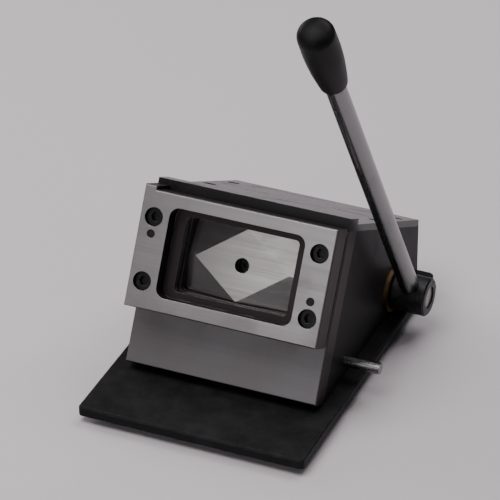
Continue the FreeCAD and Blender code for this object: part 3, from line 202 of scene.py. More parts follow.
def new_group(name, inputs, outputs):
    """An empty shader group with named sockets: its tree, its input node and its output node."""
    tree = bpy.data.node_groups.new(name, "ShaderNodeTree")
    for label, kind, value in inputs:
        tree.interface.new_socket(label, in_out="INPUT", socket_type=kind).default_value = value
    for label, kind in outputs:
        tree.interface.new_socket(label, in_out="OUTPUT", socket_type=kind)
    return tree, tree.nodes.new("NodeGroupInput").outputs, tree.nodes.new("NodeGroupOutput").inputs


NUMBER, DIRECTION = "NodeSocketFloat", "NodeSocketVector"


def ground_marks():
    """Marks of a grinding wheel or a mill: noise drawn out along one direction, coarse and fine added."""
    tree, given, result = new_group(
        "ground_marks", [("Turn", DIRECTION, (0, 0, 0)), ("Spacing", DIRECTION, (6, 900, 900))],
        [("Height", NUMBER), ("Tone", NUMBER)])
    place = add_node(tree, "ShaderNodeTexCoord").outputs["Object"]
    turned = add_node(tree, "ShaderNodeMapping", {"Vector": place, "Rotation": given["Turn"]})
    drawn = add_node(tree, "ShaderNodeVectorMath", {0: turned.outputs[0], 1: given["Spacing"]},
                     operation="MULTIPLY").outputs[0]
    fine = add_node(tree, "ShaderNodeTexNoise", {"Vector": drawn},
                    {"Scale": 1.0, "Detail": 3.0, "Roughness": 0.6}).outputs["Fac"]
    coarse = add_node(tree, "ShaderNodeTexNoise", {"Vector": drawn},
                      {"Scale": 0.13, "Detail": 2.0, "Roughness": 0.5}).outputs["Fac"]
    both = add_node(tree, "ShaderNodeMath", {0: fine, 1: coarse}, operation="MULTIPLY").outputs[0]
    spread = add_node(tree, "ShaderNodeMapRange", {"Value": both}, {"From Min": 0.12, "From Max": 0.42})
    tree.links.new(both, result["Height"])
    tree.links.new(spread.outputs[0], result["Tone"])
    return tree


def cloudy_film():
    """Uneven oil, dust or finger marks: soft noise, cut to patches by its threshold."""
    tree, given, result = new_group(
        "cloudy_film", [("Size", NUMBER, 40.0), ("Threshold", NUMBER, 0.5), ("Softness", NUMBER, 0.15),
                        ("Shift", DIRECTION, (0, 0, 0))], [("Mask", NUMBER)])
    place = add_node(tree, "ShaderNodeTexCoord").outputs["Object"]
    moved = add_node(tree, "ShaderNodeVectorMath", {0: place, 1: given["Shift"]}, operation="ADD").outputs[0]
    noise = add_node(tree, "ShaderNodeTexNoise", {"Vector": moved, "Scale": given["Size"]},
                     {"Detail": 5.0, "Roughness": 0.55, "Distortion": 0.4}).outputs["Fac"]
    top = add_node(tree, "ShaderNodeMath", {0: given["Threshold"], 1: given["Softness"]},
                   operation="ADD").outputs[0]
    cut = add_node(tree, "ShaderNodeMapRange",
                   {"Value": noise, "From Min": given["Threshold"], "From Max": top},
                   interpolation_type="SMOOTHSTEP")
    tree.links.new(cut.outputs[0], result["Mask"])
    return tree


def fine_grain():
    """Grain of powder coat, plastic or rubber: rounded bumps from smooth cells, with noise between."""
    tree, given, result = new_group("fine_grain", [("Size", NUMBER, 900.0)],
                                    [("Height", NUMBER), ("Tone", NUMBER)])
    place = add_node(tree, "ShaderNodeTexCoord").outputs["Object"]
    cells = add_node(tree, "ShaderNodeTexVoronoi", {"Vector": place, "Scale": given["Size"]},
                     {"Smoothness": 0.8}, feature="SMOOTH_F1").outputs["Distance"]
    noise = add_node(tree, "ShaderNodeTexNoise", {"Vector": place, "Scale": given["Size"]},
                     {"Detail": 2.0}).outputs["Fac"]
    low = add_node(tree, "ShaderNodeMath", {0: noise, 1: cells}, operation="SUBTRACT").outputs[0]
    tree.links.new(low, result["Height"])
    tree.links.new(noise, result["Tone"])
    return tree


def edge_wear_and_highlight():
    """Corners, for wear on paint and blacked steel and for a painted highlight on ground and oiled steel: how
    far the rounded normal leaves the plain one, broken up by noise.
    """
    tree, given, result = new_group("edge_wear_and_highlight", [("Reach", NUMBER, 0.0005), ("Breaks", NUMBER, 120.0)],
                                    [("Mask", NUMBER), ("Rounded", DIRECTION)])
    rounded = add_node(tree, "ShaderNodeBevel", {"Radius": given["Reach"]}, samples=6).outputs[0]
    plain = add_node(tree, "ShaderNodeNewGeometry").outputs["Normal"]
    match = add_node(tree, "ShaderNodeVectorMath", {0: rounded, 1: plain}, operation="DOT_PRODUCT")
    leaves = add_node(tree, "ShaderNodeMapRange", {"Value": match.outputs["Value"]},
                      {"From Min": 0.995, "From Max": 0.90})
    place = add_node(tree, "ShaderNodeTexCoord").outputs["Object"]
    noise = add_node(tree, "ShaderNodeTexNoise", {"Vector": place, "Scale": given["Breaks"]},
                     {"Detail": 4.0, "Roughness": 0.65}).outputs["Fac"]
    patches = add_node(tree, "ShaderNodeMapRange", {"Value": noise}, {"From Min": 0.42, "From Max": 0.62})
    mask = add_node(tree, "ShaderNodeMath", {0: leaves.outputs[0], 1: patches.outputs[0]},
                    operation="MULTIPLY")
    tree.links.new(mask.outputs[0], result["Mask"])
    tree.links.new(rounded, result["Rounded"])
    return tree


def below_face():
    """What lies under a face, or below a height: the depth under its plane, faded in over a given way."""
    tree, given, result = new_group("below_face", [("Face", DIRECTION, (0, 0, 1)), ("Level", NUMBER, 0.0),
                                                   ("Fade", NUMBER, 0.0004)], [("Mask", NUMBER)])
    place = add_node(tree, "ShaderNodeTexCoord").outputs["Object"]
    along = add_node(tree, "ShaderNodeVectorMath", {0: place, 1: given["Face"]}, operation="DOT_PRODUCT")
    depth = add_node(tree, "ShaderNodeMath", {0: given["Level"], 1: along.outputs["Value"]},
                     operation="SUBTRACT").outputs[0]
    mask = add_node(tree, "ShaderNodeMapRange", {"Value": depth, "From Max": given["Fade"]})
    tree.links.new(mask.outputs[0], result["Mask"])
    return tree


def settled_dust():
    """Dust on what faces up: the normal's rise, thinned by noise."""
    tree, given, result = new_group("settled_dust", [("Amount", NUMBER, 0.2)], [("Mask", NUMBER)])
    normal = add_node(tree, "ShaderNodeNewGeometry").outputs["Normal"]
    rise = add_node(tree, "ShaderNodeSeparateXYZ", {0: normal}).outputs["Z"]
    place = add_node(tree, "ShaderNodeTexCoord").outputs["Object"]
    noise = add_node(tree, "ShaderNodeTexNoise", {"Vector": place},
                     {"Scale": 55.0, "Detail": 6.0, "Roughness": 0.7}).outputs["Fac"]
    upward = add_node(tree, "ShaderNodeMapRange", {"Value": rise}, {"From Min": 0.3, "From Max": 1.0})
    thin = add_node(tree, "ShaderNodeMapRange", {"Value": noise, "To Max": given["Amount"]},
                    {"From Min": 0.35, "From Max": 0.75})
    mask = add_node(tree, "ShaderNodeMath", {0: upward.outputs[0], 1: thin.outputs[0]}, operation="MULTIPLY")
    tree.links.new(mask.outputs[0], result["Mask"])
    return tree


EFFECTS = {}


def effect(maker):
    """The node group of an effect, made the first time that it is asked for."""
    if maker.__name__ not in EFFECTS:
        EFFECTS[maker.__name__] = maker()
    return EFFECTS[maker.__name__]


class Finish:
    """A material as it is built: layers change its colour, roughness, metal and relief; seal() joins them."""

    MIX_KINDS = {"Base Color": ("RGBA", "Color"), "Roughness": ("FLOAT", "Float"),
                 "Metallic": ("FLOAT", "Float")}

    def __init__(self, name, colour, roughness, metallic=0.0, **constant):
        self.material = bpy.data.materials.new(name)
        self.material.use_nodes = True
        self.tree = self.material.node_tree
        self.shader = self.tree.nodes["Principled BSDF"]
        self.channels = {"Base Color": (*colour, 1.0), "Roughness": roughness, "Metallic": metallic}
        self.normal = None
        for label, value in constant.items():
            self.shader.inputs[label.replace("_", " ")].default_value = value

    def place(self, maker, **values):
        """Puts an effect's group in the material, with this material's own values."""
        made = self.tree.nodes.new("ShaderNodeGroup")
        made.node_tree = effect(maker)
        for label, value in values.items():
            made.inputs[label].default_value = value
        return made.outputs

    def share(self, mask, amount):
        """A mask made fainter by a constant."""
        return add_node(self.tree, "ShaderNodeMath", {0: mask}, {1: amount}, operation="MULTIPLY").outputs[0]

    def towards(self, channel, mask, value):
        """Moves a channel towards a value where the mask is full."""
        kind, suffix = self.MIX_KINDS[channel]
        mix = add_node(self.tree, "ShaderNodeMix", data_type=kind)
        sockets = {socket.identifier: socket for socket in (*mix.inputs, *mix.outputs)}
        self.tree.links.new(mask, sockets["Factor_Float"])
        before = self.channels[channel]
        if isinstance(before, bpy.types.NodeSocket):
            self.tree.links.new(before, sockets[f"A_{suffix}"])
        else:
            sockets[f"A_{suffix}"].default_value = before
        sockets[f"B_{suffix}"].default_value = value
        self.channels[channel] = sockets[f"Result_{suffix}"]

    def relief(self, height, depth):
        """Adds a relief of this depth, in metres, on top of what is there."""
        bump = add_node(self.tree, "ShaderNodeBump", {"Height": height}, {"Distance": depth, "Strength": 1.0})
        if self.normal is not None:
            self.tree.links.new(self.normal, bump.inputs["Normal"])
        self.normal = bump.outputs[0]

    def seal(self):
        """Joins the layers to the shader and gives the material back."""
        for channel, value in self.channels.items():
            if isinstance(value, bpy.types.NodeSocket):
                self.tree.links.new(value, self.shader.inputs[channel])
            else:
                self.shader.inputs[channel].default_value = value
        if self.normal is not None:
            self.tree.links.new(self.normal, self.shader.inputs["Normal"])
        return self.material


def shade(colour, factor):
    """A colour made darker or lighter, as the four numbers of a socket."""
    return (*(min(1.0, part * factor) for part in colour), 1.0)


# How much darker than its slot's colour each kind of finish is
SHADES = {"ground": 0.6, "oiled": 0.42, "plated": 0.32, "powder": 0.4, "blacked": 0.6, "bronze": 0.3,
          "moulded": 0.3}


def shaded(colour, kind):
    """A slot's colour as a kind of finish wears it."""
    return shade(colour, SHADES[kind])[:3]


GROUND_ALONG_X = (7, 1100, 1100)  # marks drawn out along X
MILLED_ALONG_X = (9, 800, 800)  # the same, a little coarser
ALONG_Z = (700, 700, 9)  # marks drawn out along a turned Z
BARE_STEEL = (0.30, 0.29, 0.28, 1.0)
UNGROUND_AND_SHADE = (0.052, 0.044, 0.045, 1.0)  # walls, holes and edges that no grinding wheel has reached, painted near-black: partly duller unground steel, partly painted shade in the window's walls and the plates' ends
GREY_DUST = (0.30, 0.29, 0.28, 1.0)
DARK_OIL = (0.10, 0.085, 0.08, 1.0)
GRIND_DEPTH = 0.3 * MM  # what lies deeper than this under a ground face starts to darken with painted shade
GRIND_FADE = 0.45 * MM  # and is fully dark this much deeper
SHADE_CLEAR_HEIGHT = 45 * MM  # height above the guide plate's lower edge under which its steel starts to come out of the painted shade under the die plate, lighter and smoother
SHADE_CLEAR_FADE = 40 * MM  # and this much lower it is lightest and smoothest


def darken_unground_and_shade(finish, node):
    """Darkens what lies under a node's ground face, its edges, its walls and its holes: partly the duller
    unground steel, partly painted shade in the window's walls and the plates' ends.
    """
    level = float((points_of(node) @ np.array(PUSH)).max()) - GRIND_DEPTH
    below = finish.place(below_face, Face=PUSH, Level=level, Fade=GRIND_FADE)["Mask"]
    finish.towards("Base Color", below, UNGROUND_AND_SHADE)
    finish.towards("Roughness", below, 0.5)


def ground_steel(name, colour, roughness=0.28, oil=0.2, depth=0.008 * MM, node=None):
    """Ground steel: fine straight marks along X, a thin uneven film of oil, and corners painted brighter,
    partly wear and partly painted highlight.
    """
    colour = shaded(colour, "ground")
    finish = Finish(name, colour, roughness, 1.0)
    edges = finish.place(edge_wear_and_highlight, Reach=0.4 * MM, Breaks=60.0)
    finish.normal = edges["Rounded"]
    marks = finish.place(ground_marks, Spacing=GROUND_ALONG_X)
    finish.towards("Base Color", finish.share(marks["Tone"], 0.55), shade(colour, 0.8))
    finish.towards("Roughness", marks["Tone"], roughness + 0.08)
    film = finish.place(cloudy_film, Size=21.0, Threshold=0.46, Softness=0.3)
    finish.towards("Base Color", finish.share(film["Mask"], oil), DARK_OIL)
    finish.towards("Roughness", finish.share(film["Mask"], 0.6), roughness + 0.2)
    # painted shade: the die plate's window walls, holes and ends are painted near-black
    if node:
        darken_unground_and_shade(finish, node)
    # painted highlight: corners painted brighter, partly wear
    finish.towards("Base Color", finish.share(edges["Mask"], 0.6), shade(colour, 1.2))
    finish.relief(marks["Height"], depth)
    return finish.seal()


def oiled_steel(name, colour, node):
    """Milled plate, greyer and stained by oil in large and small marks, lighter and smoother low down, with
    painted shade darkening it towards the die plate above.
    """
    colour = shaded(colour, "oiled")
    finish = Finish(name, colour, 0.42, 1.0)
    edges = finish.place(edge_wear_and_highlight, Reach=0.5 * MM, Breaks=60.0)
    finish.normal = edges["Rounded"]
    marks = finish.place(ground_marks, Spacing=MILLED_ALONG_X)
    finish.towards("Base Color", finish.share(marks["Tone"], 0.5), shade(colour, 0.7))
    stains = finish.place(cloudy_film, Size=16.0, Threshold=0.42, Softness=0.35, Shift=(0.07, 0, 0.02))
    finish.towards("Base Color", finish.share(stains["Mask"], 0.5), DARK_OIL)
    specks = finish.place(cloudy_film, Size=140.0, Threshold=0.55, Softness=0.2)
    finish.towards("Base Color", finish.share(specks["Mask"], 0.35), DARK_OIL)
    finish.towards("Roughness", finish.share(stains["Mask"], 0.8), 0.6)
    # painted shade: the guide plate is painted darker towards the die plate above it and lighter low down
    level = float((points_of(node) @ np.array(UPWARDS)).min()) + SHADE_CLEAR_HEIGHT
    out_of_shade = finish.place(below_face, Face=UPWARDS, Level=level, Fade=SHADE_CLEAR_FADE)["Mask"]
    finish.towards("Base Color", finish.share(out_of_shade, 0.55), shade(colour, 1.75))
    finish.towards("Roughness", finish.share(out_of_shade, 0.7), 0.36)
    darken_unground_and_shade(finish, node)
    # painted highlight: corners painted brighter, partly wear
    finish.towards("Base Color", finish.share(edges["Mask"], 0.5), shade(colour, 1.4))
    finish.relief(marks["Height"], 0.014 * MM)
    return finish.seal()


def plated_steel(name, colour, tilt):
    """Bright plating over a polished bar that tilts about X: faint marks along it and a little haze."""
    colour = shaded(colour, "plated")
    finish = Finish(name, colour, 0.22, 1.0)
    marks = finish.place(ground_marks, Turn=(-tilt, 0, 0), Spacing=ALONG_Z)
    finish.towards("Roughness", marks["Tone"], 0.3)
    haze = finish.place(cloudy_film, Size=45.0, Threshold=0.45, Softness=0.3)
    finish.towards("Roughness", finish.share(haze["Mask"], 0.7), 0.34)
    finish.towards("Base Color", finish.share(haze["Mask"], 0.3), shade(colour, 0.7))
    finish.relief(marks["Height"], 0.004 * MM)
    return finish.seal()


def powder_coat(name, colour, wear, roughness=0.44, gloss=0.07, peel=0.035 * MM):
    """Black powder coat: orange peel, a little dust, and steel showing at its worn corners."""
    finish = Finish(name, shaded(colour, "powder"), roughness, Specular_IOR_Level=gloss)
    edges = finish.place(edge_wear_and_highlight, Reach=wear, Breaks=70.0)
    finish.normal = edges["Rounded"]
    grain = finish.place(fine_grain, Size=500.0)
    finish.towards("Base Color", finish.share(grain["Tone"], 0.5), shade(colour, 0.7))
    scuffs = finish.place(cloudy_film, Size=30.0, Threshold=0.5, Softness=0.25)
    finish.towards("Roughness", finish.share(scuffs["Mask"], 0.8), roughness + 0.12)
    finish.towards("Base Color", finish.share(scuffs["Mask"], 0.35), shade(colour, 1.0))
    dust = finish.place(settled_dust, Amount=0.05)
    finish.towards("Base Color", dust["Mask"], GREY_DUST)
    finish.towards("Roughness", dust["Mask"], 0.9)
    finish.towards("Base Color", finish.share(edges["Mask"], 0.35), BARE_STEEL)
    finish.towards("Metallic", finish.share(edges["Mask"], 0.35), 1.0)
    finish.relief(grain["Height"], peel)
    return finish.seal()


def blacked_steel(name, colour, roughness=0.36):
    """Blacked steel: brown-black with brighter corners where tools have rubbed."""
    finish = Finish(name, shaded(colour, "blacked"), roughness, metallic=0.85)
    edges = finish.place(edge_wear_and_highlight, Reach=0.25 * MM, Breaks=200.0)
    finish.normal = edges["Rounded"]
    finish.towards("Base Color", finish.share(edges["Mask"], 0.55), BARE_STEEL)
    film = finish.place(cloudy_film, Size=220.0, Threshold=0.45, Softness=0.25)
    finish.towards("Roughness", film["Mask"], roughness + 0.18)
    finish.towards("Base Color", finish.share(film["Mask"], 0.4), shade(colour, 1.6))
    return finish.seal()


def cast_bronze(name, colour):
    """Turned bronze, a little dull."""
    finish = Finish(name, shaded(colour, "bronze"), 0.42, 1.0)
    film = finish.place(cloudy_film, Size=160.0, Threshold=0.45, Softness=0.3)
    finish.towards("Base Color", finish.share(film["Mask"], 0.5), shade(colour, 0.5))
    finish.towards("Roughness", film["Mask"], 0.5)
    return finish.seal()


def drawn_wire(name, colour):
    """Drawn spring wire with a thin coat of grease."""
    finish = Finish(name, colour, 0.3, 1.0)
    film = finish.place(cloudy_film, Size=300.0, Threshold=0.4, Softness=0.3)
    finish.towards("Base Color", finish.share(film["Mask"], 0.6), DARK_OIL)
    finish.towards("Roughness", film["Mask"], 0.45)
    return finish.seal()


def moulded_plastic(name, colour):
    """Black moulded plastic, polished by hands, with the mould's fine grain."""
    finish = Finish(name, shaded(colour, "moulded"), 0.42, Specular_IOR_Level=0.12)
    grain = finish.place(fine_grain, Size=1500.0)
    hands = finish.place(cloudy_film, Size=60.0, Threshold=0.42, Softness=0.3)
    finish.towards("Roughness", finish.share(hands["Mask"], 0.8), 0.52)
    finish.towards("Base Color", finish.share(hands["Mask"], 0.5), shade(colour, 1.2))
    finish.relief(grain["Height"], 0.012 * MM)
    return finish.seal()


def cast_rubber(name, colour):
    """Matt black rubber with a fine grain and some dust."""
    finish = Finish(name, colour, 0.78)
    grain = finish.place(fine_grain, Size=1100.0)
    film = finish.place(cloudy_film, Size=120.0, Threshold=0.45, Softness=0.25)
    finish.towards("Base Color", finish.share(film["Mask"], 0.35), GREY_DUST)
    finish.relief(grain["Height"], 0.05 * MM)
    return finish.seal()


def finish_table():
    """Every finish by its slot's name, made from the colours in the settings."""
    colours = bpy.context.scene.cutter_colours
    wear = bpy.context.scene.cutter_forms.edge_wear
    return {
        "die_steel": lambda name: ground_steel(name, colours.die_steel, node="die_plate"),
        "guide_steel": lambda name: oiled_steel(name, colours.guide_steel, "guide_plate"),
        "punch_steel": lambda name: ground_steel(name, colours.punch_steel, roughness=0.14, oil=0.12,
                                                 depth=0.003 * MM),
        "plain_steel": lambda name: ground_steel(name, colours.plain_steel, roughness=0.36, oil=0.4),
        "bright_steel": lambda name: plated_steel(name, colours.bright_steel, LEVER_TILT),
        "body_paint": lambda name: powder_coat(name, colours.body_paint, wear),
        "rubbed_paint": lambda name: powder_coat(name, colours.body_paint, wear, roughness=0.24, gloss=0.16,
                                                 peel=0.018 * MM),
        "base_paint": lambda name: powder_coat(name, colours.base_paint, wear),
        "black_screws": lambda name: blacked_steel(name, colours.black_screws),
        "hub_black": lambda name: blacked_steel(name, colours.hub_black, roughness=0.42),
        "bronze": lambda name: cast_bronze(name, colours.bronze),
        "spring_steel": lambda name: drawn_wire(name, colours.spring_steel),
        "grip_plastic": lambda name: moulded_plastic(name, colours.grip_plastic),
        "rubber": lambda name: cast_rubber(name, colours.rubber),
    }


FINISHES = {}


def finish_for(slot):
    """The finish of a material slot, or one of the finishes for single nodes, made once."""
    if slot not in FINISHES:
        FINISHES[slot] = finish_table()[slot](slot + "_finish")
    return FINISHES[slot]


def dress(*names, finish=None):
    """Gives CAD nodes the finish that their material slot names, or the one named here."""
    for name in names:
        piece = frame["nodes"][name]
        slot = piece.material_slots[0]
        slot.link = "OBJECT"
        slot.material = finish_for(finish or piece.data.materials[0].name.split(".")[0])


def mesh_from(name, points, faces, smooth=True):
    """An object at the origin from points and faces."""
    mesh = bpy.data.meshes.new(name)
    mesh.from_pydata(points.tolist(), [], faces)
    mesh.validate()
    if smooth:
        mesh.shade_smooth()
    piece = bpy.data.objects.new(name, mesh)
    bpy.context.scene.collection.objects.link(piece)
    return piece


def capped_rows(grid):
    """Faces over a grid whose columns join up, with one polygon closing each end row."""
    rows, columns, _ = grid.shape
    index = np.arange(rows * columns).reshape(rows, columns)
    ring = np.concatenate([index, index[:, :1]], axis=1)
    faces = np.stack([ring[:-1, :-1], ring[:-1, 1:], ring[1:, 1:], ring[1:, :-1]], axis=-1).reshape(-1, 4)
    return faces.tolist() + [index[0, ::-1].tolist(), index[-1].tolist()]


def tube(name, path, radius, sides=12):
    """A round wire along a path. Each ring is the path's point plus radius times the cosine and sine of its
    angle along two directions square to the path, which are carried from ring to ring without twist."""
    tangent = np.gradient(path, axis=0)
    tangent /= np.linalg.norm(tangent, axis=1, keepdims=True)
    side = np.empty_like(tangent)
    side[0] = np.cross(tangent[0], np.eye(3)[np.argmin(abs(tangent[0]))])
    for row in range(1, len(path)):
        side[row] = side[row - 1] - (side[row - 1] @ tangent[row]) * tangent[row]
    side /= np.linalg.norm(side, axis=1, keepdims=True)
    up = np.cross(tangent, side)
    angle = np.linspace(0, 2 * math.pi, sides, endpoint=False)
    grid = (path[:, None] + radius * (np.cos(angle)[None, :, None] * side[:, None]
                                      + np.sin(angle)[None, :, None] * up[:, None]))
    return mesh_from(name, grid.reshape(-1, 3), capped_rows(grid))


HOOK_OPEN, HOOK_CLOSED = 1.75 * math.pi, 0.12 * math.pi  # a hook's angles at its free end and at the coils
HOOK_POINTS, TURN_POINTS = 40, 28  # points of the wire's line in a hook and in a turn
COIL_START = 1.25  # how far from a hook's centre the coils start, in radii of that hook
SWELL_RATE, SWELL_LEAST = 40, 0.12  # how fast the end turns widen, and their least share of the coil's radius
FRONT_HOOK_SHARE = 0.72  # the front hook's radius as a share of the room round its stud
COIL_PITCH = 1.04  # the coils' pitch in wire diameters


def spring_path(stud, bar, coil_radius, front_radius, back_radius, turns):
    """The wire's centre line: a hook round the stud, a helix to the bar, and a hook round the bar. A hook's
    point is its centre plus its radius times the cosine and sine of an angle. The helix's is a step along the
    spring plus the coil's radius times the cosine and sine of its turn, and its end turns are narrower."""
    along = bar - stud
    length = np.linalg.norm(along)
    along = along / length
    lift = np.cross(along, ACROSS)
    hook = np.linspace(HOOK_OPEN, HOOK_CLOSED, HOOK_POINTS)
    front = (stud - front_radius * (np.cos(hook)[:, None] * -along + np.sin(hook)[:, None] * ACROSS))
    start, end = front_radius * COIL_START, length - back_radius * COIL_START
    share = np.linspace(0, 1, int(turns * TURN_POINTS))
    angle = 2 * math.pi * turns * share
    swell = coil_radius * np.clip(np.minimum(share, 1 - share) * SWELL_RATE, SWELL_LEAST, 1.0)
    helix = (stud + np.outer(start + (end - start) * share, along)
             + swell[:, None] * (np.cos(angle)[:, None] * ACROSS + np.sin(angle)[:, None] * lift))
    hook = np.linspace(HOOK_CLOSED, HOOK_OPEN, HOOK_POINTS) + math.pi
    back = bar + back_radius * (np.cos(hook)[:, None] * along + np.sin(hook)[:, None] * lift)
    return np.concatenate([front, helix, back])


def make_springs():
    """Two extension springs that pull the ram back, wound close between the studs and the spring bar."""
    forms = bpy.context.scene.cutter_forms
    bar_low, bar_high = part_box("spring_bar")
    bar = np.array((bar_low + bar_high) / 2)
    back = -np.array(PUSH)
    for label in ("left_return_spring", "right_return_spring"):
        low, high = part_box(label)
        x = (low.x + high.x) / 2
        front_radius = (high.x - low.x) / 2 - forms.wire
        bar_hook = high.y - bar[1] - forms.wire / 2
        stud_y = low.y + (front_radius + forms.wire / 2) * abs(PUSH.y)
        bar_point = np.array([x, bar[1], bar[2]])
        stud = bar_point - back * (bar[1] - stud_y) / back[1]
        coil_radius = (forms.coil - forms.wire) / 2
        turns = (np.linalg.norm(bar_point - stud) - 2 * bar_hook) / (forms.wire * COIL_PITCH)
        path = spring_path(stud, bar_point, coil_radius, front_radius * FRONT_HOOK_SHARE, bar_hook, turns)
        piece = tube(label + "_wire", path, forms.wire / 2)
        piece.data.materials.append(finish_for("spring_steel"))
        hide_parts(label)
        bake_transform(piece)


ROUND_POINTS, FLANK_POINTS, DOME_POINTS = 20, 60, 30  # points of the grip's half outline
GRIP_SIDES = 144
CROWN = 0.05 * MM  # radius of the small flat that closes the dome
SEAM_START = 2 * MM  # radius of the grip over which the parting line shows
MOUTH_REACH = 1.2  # the mouth's round lies within this many of its radii


def grip_profile(length, low, high, mouth, shoulder, dome, belly):
    """The grip's half outline: a round at the mouth, a flank that widens to the shoulder, a small round
    there, and a large round over the top. The flank is a straight line plus the belly times half a sine wave.
    Each round is a centre plus its radius times the cosine and sine of an angle, and the mouth's ends at the
    flank's first slope. Rows are (place along the grip, radius)."""
    turn = np.linspace(0, 1, ROUND_POINTS)
    slope = math.atan((high - low + math.pi * belly) / (length - mouth - shoulder))
    start = -math.pi / 2 + (math.pi / 2 - slope) * turn
    lip = np.column_stack([mouth + mouth * np.sin(start), low - mouth + mouth * np.cos(start)])
    centre = length - dome + math.sqrt((dome - shoulder) ** 2 - (high - shoulder) ** 2)
    meet = math.atan2(centre - (length - dome), high - shoulder)
    angle = meet * turn
    edge = np.column_stack([centre + shoulder * np.sin(angle), high - shoulder + shoulder * np.cos(angle)])
    angle = meet + (math.pi / 2 - meet) * np.linspace(0, 1, DOME_POINTS)[1:]
    top = np.column_stack([length - dome + dome * np.sin(angle), dome * np.cos(angle)])
    share = np.linspace(0, 1, FLANK_POINTS)[1:-1, None]
    flank = lip[-1] + (edge[0] - lip[-1]) * share + belly * np.sin(math.pi * share) * np.array([0.0, 1.0])
    return np.concatenate([lip, flank, edge, top])


def make_grip():
    """The moulded grip: the half outline turned about the lever's line, with a fine parting line down its
    front and back, which is a bell curve of the distance from the plane that the lever swings in."""
    forms = bpy.context.scene.cutter_forms
    points = points_of("grip") - LEVER_ORIGIN
    reach = points @ LEVER_ALONG
    radius = np.hypot(points[:, 0], points @ LEVER_FRONT)
    low_ring = radius[reach < GRIP_LOW + forms.grip_mouth * MOUTH_REACH].max()
    profile = grip_profile(GRIP_HIGH - GRIP_LOW, low_ring, radius.max(), forms.grip_mouth,
                           forms.grip_shoulder, forms.grip_dome, forms.grip_belly)
    profile[-1, 1] = CROWN
    turn = np.linspace(0, 2 * math.pi, GRIP_SIDES, endpoint=False)
    seam = forms.parting * np.exp(-((np.sin(turn) * radius.max() / forms.parting_width) ** 2))
    along, out = profile[:, 0], profile[:, 1]
    seamed = out > SEAM_START
    ring = (out - forms.parting * seamed)[:, None] + seam * seamed[:, None]
    grid = (LEVER_ORIGIN + (GRIP_LOW + along)[:, None, None] * LEVER_ALONG
            + ring[..., None] * (np.cos(turn)[None, :, None] * LEVER_FRONT
                                 - np.sin(turn)[None, :, None] * ACROSS))
    piece = mesh_from("moulded_grip", grid.reshape(-1, 3), capped_rows(grid))
    piece.data.materials.append(finish_for("grip_plastic"))
    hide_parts("grip")
    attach(piece, "lever")


LIP_EDGE = 1 * MM  # depth of the strip along the lip's top that its reach is read from


def make_lip_end():
    """The left end of the top cover's lip, where it runs on over the slot's end bar. It is a block: each of
    its eight corners is the sum of a reach along X, a reach up the leaning face and a reach along the punch's
    way."""
    skin = bpy.context.scene.cutter_forms.lip_skin
    cover = points_of("top_cover")
    rise = cover @ np.array(UPWARDS)
    edge = cover[rise > rise.max() - LIP_EDGE]
    forward = edge @ np.array(PUSH)
    left = points_of("guide_plate")[:, 0].min()
    low = (points_of("die_plate") @ np.array(UPWARDS)).max()
    reaches = np.meshgrid([left - skin, edge[:, 0].min()], [low, rise.max()],
                          [forward.min(), forward.max() + skin], indexing="ij")
    corners = np.stack(reaches, axis=-1).reshape(-1, 3) @ np.array([ACROSS, UPWARDS, PUSH])
    sides = [[0, 1, 3, 2], [4, 6, 7, 5], [0, 4, 5, 1], [2, 3, 7, 6], [0, 2, 6, 4], [1, 5, 7, 3]]
    piece = mesh_from("lip_left_end", corners, sides, smooth=False)
    piece.data.materials.append(finish_for("rubbed_paint"))
    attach(piece, "machine_body")


STUDIO_LIGHTS = (
    # name, azimuth, elevation, distance, width, height, power
    ("key_light", -4.5, 25.0, 2.0, 1.1, 0.72, 4.5),
    ("top_light", -40.0, 70.0, 2.2, 1.5, 1.5, 37.0),
    ("rear_light", 160.0, 60.0, 2.2, 1.6, 1.2, 24.0),
    ("left_light", -112.0, 24.0, 2.2, 1.2, 0.8, 14.0),
)


def around(azimuth, elevation):
    """The way from the object towards an azimuth and an elevation, in radians. Azimuth 0 is in front."""
    return Vector((math.sin(azimuth) * math.cos(elevation), -math.cos(azimuth) * math.cos(elevation),
                   math.sin(elevation)))


def add_lights(aim, colour):
    """Soft box lights that face the object."""
    for name, azimuth, elevation, distance, width, height, power in STUDIO_LIGHTS:
        light = bpy.data.lights.new(name, "AREA")
        light.shape, light.size, light.size_y, light.energy = "RECTANGLE", width, height, power
        light.color = colour
        lamp = bpy.data.objects.new(name, light)
        back = around(math.radians(azimuth), math.radians(elevation))
        lamp.location = aim + back * distance
        lamp.rotation_euler = back.to_track_quat("Z", "Y").to_euler()
        lamp.visible_camera = False
        bpy.context.scene.collection.objects.link(lamp)


FLOOR_REACH = 9.0  # from the middle to each side
SENSOR = 36.0  # the camera's width of film, in millimetres


def add_floor(colour):
    """A wide plain floor under the feet."""
    square = np.array([[-1, -1, 0], [1, -1, 0], [1, 1, 0], [-1, 1, 0]])
    floor = mesh_from("studio_floor", square * FLOOR_REACH, [[0, 1, 2, 3]])
    finish = Finish("floor_finish", colour, 0.62)
    clouds = finish.place(cloudy_film, Size=3.0, Threshold=0.4, Softness=0.4)
    finish.towards("Base Color", finish.share(clouds["Mask"], 0.15), shade(colour, 0.93))
    floor.data.materials.append(finish.seal())


def make_room(studio):
    """The room's soft light, brighter near the floor than overhead."""
    world = bpy.data.worlds.new("studio_room")
    world.use_nodes = True
    tree = world.node_tree
    way = add_node(tree, "ShaderNodeTexCoord").outputs["Generated"]
    rise = add_node(tree, "ShaderNodeSeparateXYZ", {0: way}).outputs["Z"]
    strength = add_node(tree, "ShaderNodeMapRange", {"Value": rise}, {
        "From Min": 0.05, "From Max": 0.4, "To Min": studio.skirt_strength, "To Max": studio.air_strength})
    room = tree.nodes["Background"].inputs
    room["Color"].default_value = (*studio.air_colour, 1.0)
    tree.links.new(strength.outputs[0], room["Strength"])
    return world


